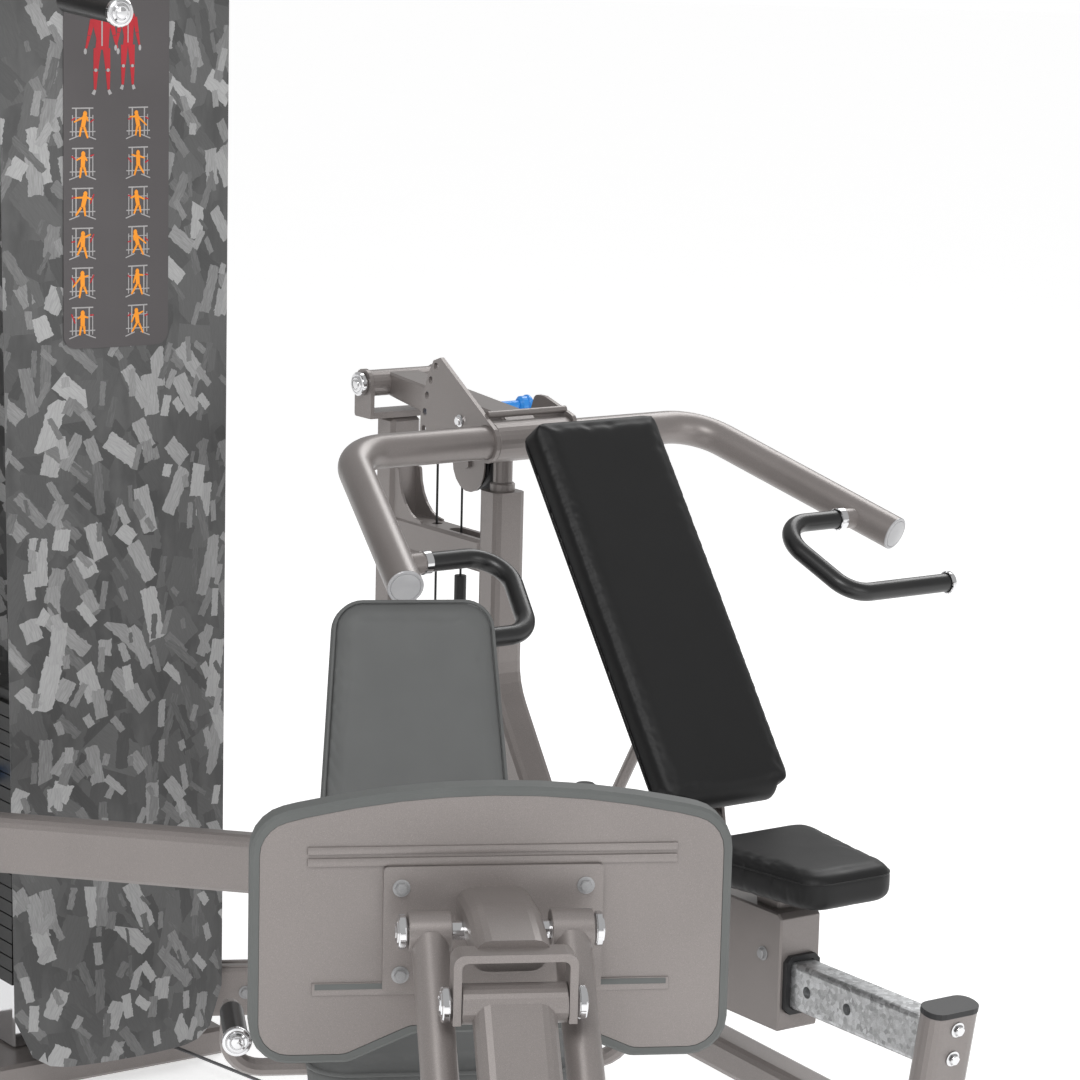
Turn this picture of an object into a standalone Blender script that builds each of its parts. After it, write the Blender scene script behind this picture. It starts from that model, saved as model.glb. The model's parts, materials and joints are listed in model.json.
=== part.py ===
"""Multi station home gym: a twin weight-stack tower with a multi-press station and a leg press.

Metres, +Z up. X runs along the tower's front, -Y is the way its front faces.
"""

import math

import bmesh
import bpy
from mathutils import Matrix, Vector

# ---- Whole object ----
PLAN_SHIFT = Vector((-0.5216, 1.0252, 0.0))
GAP = 0.0004
RUNNING_GAP = 0.0008

# ---- Tower ----
TOWER_X = -0.05
TOWER_TOP = 2.12
BEAM_BOTTOM = 2.06
SLAB_TOP = 0.05
SHROUD_X = 0.361
SHROUD_WIDTH = 0.430
SHROUD_SHEET = 0.004
SHROUD_BULGE = 0.035
SHROUD_BOTTOM = 0.062
SHROUD_TOP = 2.05
SHROUD_TAPER = 0.028
SHROUD_CORNER = 0.09
TOWER_DEPTH = 0.40
UPRIGHT_X = 0.57
UPRIGHT_Y = 0.17

# ---- Weight stacks ----
STACK_X = 0.375
STACK_Y = 0.20
PLATE = Vector((0.29, 0.15, 0.025))
REST_PLATES = 14
LIFTED_PLATES = 6
STACK_BOTTOM = 0.17
ROD_SPREAD = 0.10
ROD_R = 0.0125
STEM_R = 0.012
PIN_R = 0.005
CABLE_R = 0.003

# ---- Pull-up bar ----
BAR_R = 0.0145
BAR_Z = 2.01
GRIP_Z = 1.87

# ---- Curved beam and low links ----
ARCH_Z = 0.54
ARCH_SIZE = (0.05, 0.095)
ARCH_X = -0.12
TIE_SIZE = (0.05, 0.09)
TIE_Z = 0.125
LOW_CABLE_Z = 0.03

# ---- Press station ----
PRESS_AT = Vector((1.147, 0.066, 0.0))
PRESS_TUBE = (0.066, 0.060)
PIVOT = (-0.353, 1.133)
CROSS = (0.076, 1.082)
CROSS_R = 0.031
ARM_HALF = 0.380
ARM_END = Vector((0.524, 0.490, 0.932))
PULLEY = (-0.084, 1.015)
PULLEY_R = 0.052
QUADRANT_R = 0.216
PIN_AT = (-0.125, 1.111)
HOLE_STEP = 9.0
REAR_UPRIGHT_F = -0.355
REAR_UPRIGHT_TOP = 1.068
RAIL_Z = 0.285
RAIL_SIZE = (0.050, 0.080)
SEAT_TOP = 0.509
SEAT_THICK = 0.062
BACK_TOP = (0.285, 1.155)
BACK_BOTTOM = (0.712, 0.572)
BACK_THICK = 0.060
BACK_HALF = 0.135
BACK_PIVOT = (0.640, 0.500)
STRUT_FOOT = (0.322, 0.400)
STRUT_HEAD = (0.495, 0.682)
KNOB_F = 0.283

# ---- Leg press ----
LEG_AT = Vector((0.0162, -1.5851, 0.0))
LEG_TURN = math.radians(-26.7)
UPPER_AXLE = (0.080, 0.7645)
LOWER_AXLE = (0.215, 0.711)
LINK = (0.500, -0.500)
FOOT_BOTTOM = 0.566
FOOT_SIDE_TOP = 0.880
FOOT_CROWN = 0.921
FOOT_HALF = 0.302
FOOT_SHEET = 0.006


# ---------------------------------------------------------------- materials

def material(name, color, roughness, metallic=0.0):
    """A Principled material, made once for each name."""
    found = bpy.data.materials.get(name)
    if found:
        return found
    made = bpy.data.materials.new(name)
    made.use_nodes = True
    shader = made.node_tree.nodes["Principled BSDF"]
    shader.inputs["Base Color"].default_value = (*color, 1.0)
    shader.inputs["Roughness"].default_value = roughness
    shader.inputs["Metallic"].default_value = metallic
    made.diffuse_color = (*color, 1.0)
    return made


def paint():
    return material("frame_paint", (0.27, 0.245, 0.235), 0.42, 0.35)


def chrome():
    return material("chrome", (0.80, 0.80, 0.80), 0.08, 1.0)


def zinc():
    return material("galvanised", (0.55, 0.56, 0.57), 0.45, 0.9)


def black_pad():
    return material("black_upholstery", (0.030, 0.030, 0.031), 0.55)


def grey_pad():
    return material("grey_upholstery", (0.155, 0.160, 0.158), 0.60)


def rubber_edge():
    return material("edge_rubber", (0.130, 0.138, 0.134), 0.75)


def grip_rubber():
    return material("grip_rubber", (0.020, 0.020, 0.021), 0.60)


def stack_steel():
    return material("stack_plates", (0.022, 0.022, 0.024), 0.50, 0.3)


def shroud_panel():
    return material("shroud_panel", (0.090, 0.092, 0.091), 0.50)


def blue_plastic():
    return material("blue_knob", (0.010, 0.210, 0.680), 0.35)


def black_plastic():
    return material("black_plastic", (0.025, 0.025, 0.026), 0.50)


def cable_cover():
    return material("cable_cover", (0.110, 0.112, 0.114), 0.50)


# ---------------------------------------------------------------- shape helpers

def collection(name, hidden=False):
    made = bpy.data.collections.new(name)
    bpy.context.scene.collection.children.link(made)
    made.hide_render = hidden
    return made


def put(obj, name, finish, parent, at=(0, 0, 0), turn=(0, 0, 0)):
    """Names an object, gives it its one material and places it under its parent."""
    obj.name = name
    obj.data.name = name
    obj.data.materials.clear()
    obj.data.materials.append(finish)
    obj.parent = parent
    obj.location = at
    obj.rotation_euler = turn
    PARTS.objects.link(obj)
    return obj


def smooth(mesh, degrees=35):
    mesh.shade_smooth()
    mesh.set_sharp_from_angle(angle=math.radians(degrees))


def face_outwards(bm):
    bmesh.ops.recalc_face_normals(bm, faces=bm.faces)
    if bm.calc_volume(signed=True) < 0:
        bmesh.ops.reverse_faces(bm, faces=bm.faces)


def mesh_object(bm, name="piece"):
    mesh = bpy.data.meshes.new(name)
    face_outwards(bm)
    bm.to_mesh(mesh)
    bm.free()
    smooth(mesh)
    return bpy.data.objects.new(name, mesh)


def block(size, at=(0, 0, 0), bevel=0.0, segments=1):
    """A box centred on a point, with its edges rounded."""
    bm = bmesh.new()
    bmesh.ops.create_cube(bm, size=1.0)
    bmesh.ops.scale(bm, vec=size, verts=bm.verts)
    if bevel:
        bmesh.ops.bevel(bm, geom=bm.edges[:], offset=bevel, segments=segments, affect="EDGES", profile=0.5)
    bmesh.ops.translate(bm, vec=at, verts=bm.verts)
    return mesh_object(bm)


def rod(radius, start, end, sides=20, bevel=0.0, radius_end=None):
    """A round bar from one point to another."""
    start, end = Vector(start), Vector(end)
    along = end - start
    bm = bmesh.new()
    bmesh.ops.create_cone(
        bm, cap_ends=True, segments=sides, radius1=radius,
        radius2=radius if radius_end is None else radius_end, depth=along.length,
    )
    if bevel:
        rims = [e for e in bm.edges if abs(e.verts[0].co.z - e.verts[1].co.z) < 1e-6]
        bmesh.ops.bevel(bm, geom=rims, offset=bevel, segments=1, affect="EDGES", profile=0.5)
    turn = along.to_track_quat("Z", "Y").to_matrix().to_4x4()
    bm.transform(Matrix.Translation((start + end) / 2) @ turn)
    return mesh_object(bm)


def rounded(points, radii, per_turn=24):
    """The points of a line whose inner corners are arcs; radii holds one value for each corner."""
    points = [Vector(p) for p in points]
    if not isinstance(radii, (list, tuple)):
        radii = [radii] * (len(points) - 2)
    path = [points[0]]
    for before, corner, after, radius in zip(points, points[1:], points[2:], radii):
        back, ahead = (before - corner).normalized(), (after - corner).normalized()
        turn = math.pi - back.angle(ahead)
        reach = radius * math.tan(turn / 2)
        centre = corner + (back + ahead).normalized() * (radius / math.cos(turn / 2))
        first, last = corner + back * reach, corner + ahead * reach
        steps = max(2, math.ceil(per_turn * turn / (2 * math.pi)))
        u, w = first - centre, last - centre
        for i in range(steps + 1):
            share = i / steps
            path.append(centre + (u * math.sin((1 - share) * turn) + w * math.sin(share * turn)) / math.sin(turn))
    path.append(points[-1])
    return path


def closed_outline(corners, radii, per_turn=20):
    """A closed outline in the XY plane with rounded corners; radii holds one value for each corner."""
    corners = [Vector((*c[:2], 0)) for c in corners]
    if not isinstance(radii, (list, tuple)):
        radii = [radii] * len(corners)
    outline = []
    for i, (corner, radius) in enumerate(zip(corners, radii)):
        before, after = corners[i - 1], corners[(i + 1) % len(corners)]
        if radius < 1e-6:
            outline.append(corner)
            continue
        outline += rounded([before, corner, after], radius, per_turn)[1:-1]
    return outline


def spline(curve, points, cyclic=False):
    made = curve.splines.new("POLY")
    made.points.add(len(points) - 1)
    for point, at in zip(made.points, points):
        point.co = (*at, 1.0)
    made.use_cyclic_u = cyclic
    return made


def solid_of(curve_object):
    """A mesh object with a curve's evaluated shape, its caps welded on."""
    bpy.context.scene.collection.objects.link(curve_object)
    bpy.context.view_layer.update()
    graph = bpy.context.evaluated_depsgraph_get()
    mesh = bpy.data.meshes.new_from_object(curve_object.evaluated_get(graph))
    bm = bmesh.new()
    bm.from_mesh(mesh)
    bmesh.ops.remove_doubles(bm, verts=bm.verts, dist=1e-6)
    face_outwards(bm)
    bm.to_mesh(mesh)
    bm.free()
    smooth(mesh)
    bpy.data.objects.remove(curve_object)
    return bpy.data.objects.new("solid", mesh)


def plate(outlines, thickness, across="Z", bevel=0.0):
    """A flat sheet with holes: closed outlines in a plane, given thickness along the across axis.

    across Z keeps the outline's X and Y; across X turns them into -Y and Z; across Y into X and Z.
    """
    curve = bpy.data.curves.new("outline", "CURVE")
    curve.dimensions = "2D"
    curve.fill_mode = "BOTH"
    curve.extrude = thickness / 2 - bevel
    curve.bevel_depth = bevel
    curve.offset = -bevel
    curve.bevel_resolution = 0
    for outline in outlines:
        spline(curve, [(p[0], p[1], 0.0) for p in outline], cyclic=True)
    solid = solid_of(bpy.data.objects.new("outline", curve))
    solid.data.transform(PLANES[across])
    if PLANES[across].determinant() < 0:
        solid.data.flip_normals()
    return solid


PLANES = {
    "Z": Matrix.Identity(4),
    "X": Matrix(((0, 0, 1, 0), (-1, 0, 0, 0), (0, 1, 0, 0), (0, 0, 0, 1))),
    "Y": Matrix(((1, 0, 0, 0), (0, 0, -1, 0), (0, 1, 0, 0), (0, 0, 0, 1))),
}


def section(width, depth, corner, steps=6):
    """A rounded rectangular tube section as a closed curve object, kept with the helpers."""
    curve = bpy.data.curves.new("section", "CURVE")
    curve.dimensions = "2D"
    w, d = width / 2, depth / 2
    outline = closed_outline([(w, -d), (w, d), (-w, d), (-w, -d)], corner, 4 * steps)
    spline(curve, outline, cyclic=True)
    made = bpy.data.objects.new("section", curve)
    HELPERS.objects.link(made)
    made.hide_render = True
    return made


def flat_tube(points, across, thick, wide, corner, steps=3):
    """A rectangular tube along a plane line: thick in the plane, wide along the across axis."""
    curve = bpy.data.curves.new("tube", "CURVE")
    curve.dimensions = "2D"
    curve.fill_mode = "NONE"
    curve.bevel_mode = "OBJECT"
    curve.bevel_object = section(thick, wide, corner, steps)
    curve.use_fill_caps = True
    spline(curve, [(p[0], p[1], 0.0) for p in points])
    solid = solid_of(bpy.data.objects.new("tube", curve))
    solid.data.transform(PLANES[across])
    if PLANES[across].determinant() < 0:
        solid.data.flip_normals()
    return solid


def round_tube(points, radius, resolution=3):
    """A round tube along a line in space."""
    curve = bpy.data.curves.new("tube", "CURVE")
    curve.dimensions = "3D"
    curve.bevel_depth = radius
    curve.bevel_resolution = resolution
    curve.use_fill_caps = True
    spline(curve, points)
    return solid_of(bpy.data.objects.new("tube", curve))


def combine(base, others, operation):
    """Joins or cuts meshes that share one set of axes, and returns the result as one mesh object."""
    bpy.context.scene.collection.objects.link(base)
    for other in others:
        bpy.context.scene.collection.objects.link(other)
        change = base.modifiers.new("change", "BOOLEAN")
        change.operation = operation
        change.solver = "EXACT"
        change.object = other
    bpy.context.view_layer.update()
    graph = bpy.context.evaluated_depsgraph_get()
    mesh = bpy.data.meshes.new_from_object(base.evaluated_get(graph))
    smooth(mesh)
    for used in [base, *others]:
        bpy.data.objects.remove(used)
    return bpy.data.objects.new("solid", mesh)


def joined(base, *others):
    return combine(base, others, "UNION")


def cut(base, *others):
    return combine(base, others, "DIFFERENCE")


def shifted(obj, offset):
    obj.data.transform(Matrix.Translation(offset))
    return obj


def mirrored(obj):
    """The mirror image of a mesh object through its YZ plane."""
    mesh = obj.data.copy()
    mesh.transform(Matrix.Scale(-1, 4, (1, 0, 0)))
    mesh.flip_normals()
    return bpy.data.objects.new(obj.name, mesh)


def side(x, forward, z):
    """A point given as across, forward and up; forward is -Y."""
    return Vector((x, -forward, z))


def empty(name, parent, at=(0, 0, 0), turn=(0, 0, 0)):
    made = bpy.data.objects.new(name, None)
    HELPERS.objects.link(made)
    made.parent = parent
    made.location = at
    made.rotation_euler = turn
    return made


# ---------------------------------------------------------------- tower

def shroud_y(x):
    """How far forward the shroud's face stands, at a distance x from its centre line."""
    share = 2 * x / SHROUD_WIDTH
    return -SHROUD_BULGE * (1 - share * share)


def shroud_sheet(columns=14, taper=SHROUD_TAPER):
    """A gently bowed upright sheet with rounded lower corners, narrower below on its -X side."""
    bm = bmesh.new()
    bmesh.ops.create_grid(bm, x_segments=columns, y_segments=3, size=0.5)
    for v in bm.verts:
        across, up = v.co.x + 0.5, v.co.y + 0.5
        from_edge = min(across, 1 - across) * SHROUD_WIDTH
        lift = 0.0
        if from_edge < SHROUD_CORNER:
            lift = SHROUD_CORNER - math.sqrt(SHROUD_CORNER ** 2 - (SHROUD_CORNER - from_edge) ** 2)
        z = SHROUD_BOTTOM + lift * (1 - up) + (SHROUD_TOP - SHROUD_BOTTOM) * up
        x = (across - 0.5) * SHROUD_WIDTH
        y = shroud_y(x)
        x += taper * (1 - across) * (SHROUD_TOP - z) / (SHROUD_TOP - SHROUD_BOTTOM)
        v.co = (x, y, z)
    sheet = mesh_object(bm)
    if sheet.data.polygons[0].normal.y > 0:
        sheet.data.flip_normals()
    thick = sheet.modifiers.new("sheet", "SOLIDIFY")
    thick.thickness = SHROUD_SHEET
    thick.offset = -1
    return sheet


def settle(obj):
    """The object with its modifiers applied."""
    bpy.context.scene.collection.objects.link(obj)
    bpy.context.view_layer.update()
    graph = bpy.context.evaluated_depsgraph_get()
    mesh = bpy.data.meshes.new_from_object(obj.evaluated_get(graph))
    smooth(mesh)
    bpy.data.objects.remove(obj)
    return bpy.data.objects.new("solid", mesh)


def make_shrouds(tower):
    front = settle(shroud_sheet())
    rear = settle(shroud_sheet(taper=0.0))
    put(mirrored(front), "shroud_front_left", shroud_panel(), tower, (-SHROUD_X, 0, 0))
    put(front, "shroud_front_right", shroud_panel(), tower, (SHROUD_X, 0, 0))
    other = bpy.data.objects.new("rear", rear.data)
    put(rear, "shroud_rear_right", shroud_panel(), tower, (SHROUD_X, TOWER_DEPTH, 0), (0, 0, math.pi))
    put(other, "shroud_rear_left", shroud_panel(), tower, (-SHROUD_X, TOWER_DEPTH, 0), (0, 0, math.pi))


def make_tower_frame(tower):
    slab = block((1.24, 0.29, SLAB_TOP), (0, 0.205, SLAB_TOP / 2), 0.006)
    put(slab, "tower_base", paint(), tower)
    height = BEAM_BOTTOM - SLAB_TOP - 2 * GAP
    middle = (BEAM_BOTTOM + SLAB_TOP) / 2
    for name, sign in (("upright_right", 1), ("upright_left", -1)):
        post = block((0.05, 0.08, height), (0, 0, 0), 0.006)
        put(post, name, paint(), tower, (sign * UPRIGHT_X, UPRIGHT_Y + 0.03, middle))
    column = block((0.08, 0.06, height), (0, 0, 0), 0.008)
    put(column, "centre_column", paint(), tower, (ARCH_X - TOWER_X, 0.29, middle))
    beam = block((1.24, 0.30, TOWER_TOP - BEAM_BOTTOM), (0, 0.20, (TOWER_TOP + BEAM_BOTTOM) / 2), 0.012)
    put(beam, "top_beam", paint(), tower)


def guide_rods():
    """Two round rods that stand on one bumper block."""
    bumper_top = STACK_BOTTOM - GAP
    bumper = block((0.27, 0.12, bumper_top - SLAB_TOP - GAP), (0, 0, (bumper_top + SLAB_TOP + GAP) / 2), 0.004)
    rods = [rod(ROD_R, (s * ROD_SPREAD, 0, SLAB_TOP + 0.05), (s * ROD_SPREAD, 0, BEAM_BOTTOM - GAP), 14) for s in (-1, 1)]
    return joined(bumper, *rods)


def plates(count, bottom):
    """A pile of plates as one solid: its ends are notched at every seam."""
    half, notch, seam = PLATE.x / 2, 0.003, 0.0012
    right = []
    for i in range(count):
        low, high = bottom + i * PLATE.z, bottom + (i + 1) * PLATE.z
        right += [(half, low + seam), (half, high - seam)]
        if i < count - 1:
            right += [(half - notch, high - seam / 3), (half - notch, high + seam / 3)]
    left = [(-x, z) for x, z in reversed(right)]
    return plate([right + left], PLATE.y, "Y")


def stack_rest():
    pile = plates(REST_PLATES, STACK_BOTTOM)
    top = STACK_BOTTOM + REST_PLATES * PLATE.z
    holes = [rod(ROD_R + RUNNING_GAP, (s * ROD_SPREAD, 0, STACK_BOTTOM - 0.1), (s * ROD_SPREAD, 0, top + 0.1), 14) for s in (-1, 1)]
    stem = rod(STEM_R + 0.0015, (0, 0, STACK_BOTTOM - 0.1), (0, 0, top + 0.1), 14)
    return cut(pile, *holes, stem)


def stack_lifted():
    bottom = STACK_BOTTOM + REST_PLATES * PLATE.z + GAP
    top = bottom + LIFTED_PLATES * PLATE.z
    head = block((0.27, 0.13, 0.024), (0, 0, top + 0.009), 0.003)
    boss = rod(0.020, (0, 0, top + 0.015), (0, 0, top + 0.045), 16, 0.003)
    stem = rod(STEM_R, (0, 0, STACK_BOTTOM + 0.02), (0, 0, bottom + 0.02), 14)
    body = joined(plates(LIFTED_PLATES, bottom), head, boss, stem)
    holes = [rod(ROD_R + RUNNING_GAP, (s * ROD_SPREAD, 0, bottom - 0.1), (s * ROD_SPREAD, 0, top + 0.1), 14) for s in (-1, 1)]
    pin_hole = rod(PIN_R + RUNNING_GAP, (-PLATE.x, 0, bottom + PLATE.z / 2), (-ROD_SPREAD + ROD_R + 0.002, 0, bottom + PLATE.z / 2), 12)
    return cut(body, *holes, pin_hole)


def selector_pin():
    """A pin with a round knob; its shaft reaches the first guide rod's bore and stops short of it."""
    face = -PLATE.x / 2
    shaft = rod(PIN_R, (face - 0.01, 0, 0), (-ROD_SPREAD - ROD_R - 0.004, 0, 0), 12)
    knob = rod(0.014, (face - 0.034, 0, 0), (face - 0.002, 0, 0), 18, 0.004)
    return joined(knob, shaft)


def make_stacks(tower):
    pin_z = STACK_BOTTOM + REST_PLATES * PLATE.z + GAP + PLATE.z / 2
    cable_bottom = pin_z - PLATE.z / 2 + LIFTED_PLATES * PLATE.z + 0.045 + GAP
    for name, sign in (("press", 1), ("leg", -1)):
        at = (sign * STACK_X, STACK_Y, 0)
        pieces = {
            f"guide_rods_{name}": (guide_rods(), chrome()),
            f"stack_{name}_rest": (stack_rest(), stack_steel()),
            f"stack_{name}_lifted": (stack_lifted(), stack_steel()),
        }
        for title, (piece, finish) in pieces.items():
            put(piece if sign > 0 else mirrored(piece), title, finish, tower, at)
        pin = selector_pin()
        put(pin if sign > 0 else mirrored(pin), f"selector_pin_{name}", blue_plastic(), tower, (at[0], at[1], pin_z))
        cable = rod(CABLE_R, (0, 0, cable_bottom), (0, 0, BEAM_BOTTOM - GAP), 10)
        put(cable, f"stack_cable_{name}", cable_cover(), tower, at)


def make_pull_up_bar(tower):
    """Two forward handles and a wide bar with drooping ends, hung from the top beam's front."""
    wide = rounded([(-0.46, -0.13, 1.955), (-0.36, -0.12, BAR_Z), (0.36, -0.12, BAR_Z), (0.46, -0.13, 1.955)], 0.06)
    pieces = []
    for sign in (-1, 1):
        route = [(sign * 0.177, 0.0495, 2.085), (sign * 0.177, -0.09, 2.085), (sign * 0.177, -0.17, GRIP_Z + 0.006), (sign * 0.177, -0.36, GRIP_Z - 0.006)]
        pieces.append(round_tube(rounded(route, [0.05, 0.05]), BAR_R + 0.0005))
    put(joined(round_tube(wide, BAR_R), *pieces), "pullup_bar", paint(), tower)


# ---------------------------------------------------------------- beams between the stations

def make_arch_beam(gym):
    """The waist-high beam that leaves the centre column and bends towards the leg press."""
    away = Vector((0.685, -0.728, 0)).normalized()
    corner = Vector((ARCH_X, -0.122, 0))
    end = corner + away * 0.682
    route = rounded([(ARCH_X, 0.2596, 0), corner, end], 0.26, 48)
    beam = flat_tube(route, "Z", ARCH_SIZE[0], ARCH_SIZE[1], 0.016)
    put(beam, "curved_beam", paint(), gym, (0, 0, ARCH_Z))


def make_tie_beam(gym):
    """A low beam from the tower's right upright to the press station."""
    start, end = Vector((0.540, 0.062, 0)), Vector((1.080, -0.2095, 0))
    beam = flat_tube([start, end], "Z", TIE_SIZE[0], TIE_SIZE[1], 0.008)
    put(beam, "tie_beam", paint(), gym, (0, 0, TIE_Z))


def make_low_cable(gym):
    cable = rod(CABLE_R, (0.466, 0.0594, LOW_CABLE_Z), (0.553, -0.4975, LOW_CABLE_Z), 10)
    put(cable, "low_cable", cable_cover(), gym)


# ---------------------------------------------------------------- press station

def make_press_frame(station):
    route = rounded([(0, 0.976), (0, 0.610), (0.325, 0.132), (1.180, 0.090)], [0.16, 0.20], 36)
    main = flat_tube(route, "X", PRESS_TUBE[1], PRESS_TUBE[0], 0.012, 2)
    stop = rod(0.018, side(0, 0, 0.95), side(0, 0, 1.055), 18, 0.002)
    collar = rod(0.023, side(0, 0, 0.97), side(0, 0, 0.992), 18, 0.003)
    put(joined(main, stop, collar), "main_beam", paint(), station)

    post = block((0.066, 0.060, REAR_UPRIGHT_TOP), side(0, REAR_UPRIGHT_F, REAR_UPRIGHT_TOP / 2), 0.008)
    tie = block((0.060, 0.60, 0.07), side(0, -0.06, 0.035 + GAP), 0.006)
    foot = block((0.50, 0.08, 0.05), side(0, REAR_UPRIGHT_F, 0.025), 0.006)
    put(joined(post, tie, foot), "rear_upright", paint(), station)

    low, high = 0.820, 0.880
    rear, front = REAR_UPRIGHT_F + 0.030 + GAP, -0.030 - GAP
    beam = block((0.060, front - rear, high - low), side(0, (front + rear) / 2, (low + high) / 2), 0.006)
    gusset = [(rear, high - 0.004), (rear, 0.972), (rear + 0.011, 0.972)]
    for i in range(7):
        angle = math.radians(90 * i / 6)
        gusset.append((rear + 0.092 - 0.078 * math.cos(angle), high + 0.084 * (1 - math.sin(angle)) + 0.003))
    gusset.append((rear + 0.095, high - 0.004))
    webs = [shifted(plate([gusset], 0.005, "X"), (x, 0, 0)) for x in (-0.024, 0.024)]
    hole = rod(0.010, side(0, -0.215, low - 0.05), side(0, -0.215, high + 0.05), 14)
    slot = block((0.030, 0.130, 0.2), side(0, -0.095, high), 0.012, 3)
    put(cut(joined(beam, *webs), hole, slot), "mid_beam", paint(), station)


def make_pivot(station):
    """The U bracket on the rear upright, and the axle that it holds."""
    y, z = PIVOT
    half = 0.083
    low = REAR_UPRIGHT_TOP + GAP
    outline = [(y - 0.029, low), (y + 0.029, low), (y + 0.029, z + 0.028), (y - 0.029, z + 0.028)]
    radii = [0.006, 0.006, 0.028, 0.028]
    hole = [(y + 0.0128 * math.cos(a), z + 0.0128 * math.sin(a)) for a in [math.tau * i / 20 for i in range(20)]]
    cheeks = [
        shifted(plate([closed_outline(outline, radii), hole], 0.008, "X"), (x, 0, 0)) for x in (-half + 0.004, half - 0.004)
    ]
    floor = block((2 * half - 0.002, 0.056, 0.012), side(0, y, low + 0.006), 0.0)
    put(joined(floor, *cheeks), "pivot_bracket", paint(), station)
    axle = rod(0.0124, (-half - 0.004, 0, 0), (half + 0.004, 0, 0), 20)
    caps = [rod(0.021, (s * (half + 0.0006), 0, 0), (s * (half + 0.009), 0, 0), 24, 0.002) for s in (-1, 1)]
    put(joined(axle, *caps), "pivot_axle", chrome(), station, side(0, y, z))


def make_lever(station):
    """The press lever: a rear sleeve, a deepening beam and a front sleeve that carries the arms."""
    py, pz = PIVOT
    cy, cz = CROSS[0] - py, CROSS[1] - pz
    outline = [(0.0, 0.022), (cy - 0.034, -0.010), (cy - 0.010, cz + 0.025), (cy - 0.010, cz - 0.022), (cy - 0.040, -0.078), (0.0, -0.022)]
    beam = plate([closed_outline(outline, [0.006, 0.006, 0.006, 0.006, 0.006, 0.006])], 0.070, "X", 0.004)
    rear = rod(0.025, (-0.073, 0, 0), (0.073, 0, 0), 24, 0.001)
    front = rod(0.037, side(-0.082, cy, cz), side(0.082, cy, cz), 28, 0.001)
    pin_y, pin_z = PIN_AT[0] - py, PIN_AT[1] - pz
    boss = rod(0.013, side(0.02, pin_y, pin_z), side(0.062, pin_y, pin_z), 16, 0.001)
    body = joined(beam, rear, front, boss)
    bores = [
        rod(0.0132, (-0.2, 0, 0), (0.2, 0, 0), 20),
        rod(CROSS_R + RUNNING_GAP, side(-0.2, cy, cz), side(0.2, cy, cz), 28),
        rod(0.0068, side(-0.1, pin_y, pin_z), side(0.1, pin_y, pin_z), 14),
    ]
    put(cut(body, *bores), "lever", paint(), station, side(0, py, pz))


def make_pull_pin(station):
    """The pin that locks the arms: pushed in, its tip enters one of the quadrant's holes."""
    shaft = rod(0.006, (-0.0827, 0, 0), (0.080, 0, 0), 14)
    knob = rod(0.0155, (0.116, 0, 0), (0.137, 0, 0), 20, 0.005)
    neck = rod(0.0080, (0.0735, 0, 0), (0.125, 0, 0), 16, 0.002)
    put(joined(knob, neck, shaft), "pull_pin", blue_plastic(), station, side(0, *PIN_AT))


def quadrant_outline():
    """A sector about the cross tube: pointed at the top, with an arc at the rear."""
    y, z = CROSS
    arc = []
    for i in range(8):
        angle = math.radians(187 - 43 * i / 7)
        arc.append((y + QUADRANT_R * math.cos(angle), z + QUADRANT_R * math.sin(angle)))
    ring = [math.radians(a) for a in range(45, -111, -20)]
    return [*arc, (y - 0.152, z + 0.135), *[(y + 0.038 * math.cos(a), z + 0.038 * math.sin(a)) for a in ring]]


def circle(y, z, radius, sides=12):
    return [(y + radius * math.cos(math.tau * i / sides), z + radius * math.sin(math.tau * i / sides)) for i in range(sides)]


def make_arms(station):
    y, z = CROSS
    holes = [circle(y, z, CROSS_R + GAP, 28)]
    reach = math.hypot(PIN_AT[0] - y, PIN_AT[1] - z)
    rest = math.atan2(PIN_AT[1] - z, PIN_AT[0] - y)
    for step in (-3, -2, -1, 0, 1):
        angle = rest + math.radians(step * HOLE_STEP)
        holes.append(circle(y + reach * math.cos(angle), z + reach * math.sin(angle), 0.0072))
    quadrant = plate([quadrant_outline(), *holes], 0.008, "X")
    put(shifted(quadrant, (0, y, -z)), "quadrant_plate", paint(), station, side(-0.0875, y, z))
    ear = [(-0.115, 0.026), (-0.100, 0.064), (-0.068, 0.064), (0.022, 0.040), (0.040, -0.020), (-0.016, -0.040)]
    flange = plate([closed_outline([(y + a, z + b) for a, b in ear], 0.012)], 0.008, "X")
    tie_rod = rod(0.0065, side(-0.083, -0.0075, 0.0485), side(0.0875, -0.0075, 0.0485), 14)
    bend = Vector((ARM_HALF, 0, 0))
    end = side(*ARM_END) - side(0, y, z)
    route = rounded([-Vector((end.x, -end.y, -end.z)), -bend, bend, end], 0.095, 32)
    flange = shifted(flange, (0.0875, y, -z))
    put(joined(round_tube(route, CROSS_R, 4), flange, tie_rod), "press_arms", paint(), station, side(0, y, z))
    root = end - (end - bend).normalized() * 0.070
    inner = root - Vector((0.215, 0, 0))
    turn = inner + side(0.057, 0.165, -0.099)
    line = rounded([root - Vector((0.041, 0, 0)), inner, turn, turn + Vector((0.222, 0, 0))], [0.060, 0.055])
    right = round_tube(line, 0.0165)
    put(mirrored(right), "grip_left", grip_rubber(), station, side(0, y, z))
    put(right, "grip_right", grip_rubber(), station, side(0, y, z))


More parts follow.
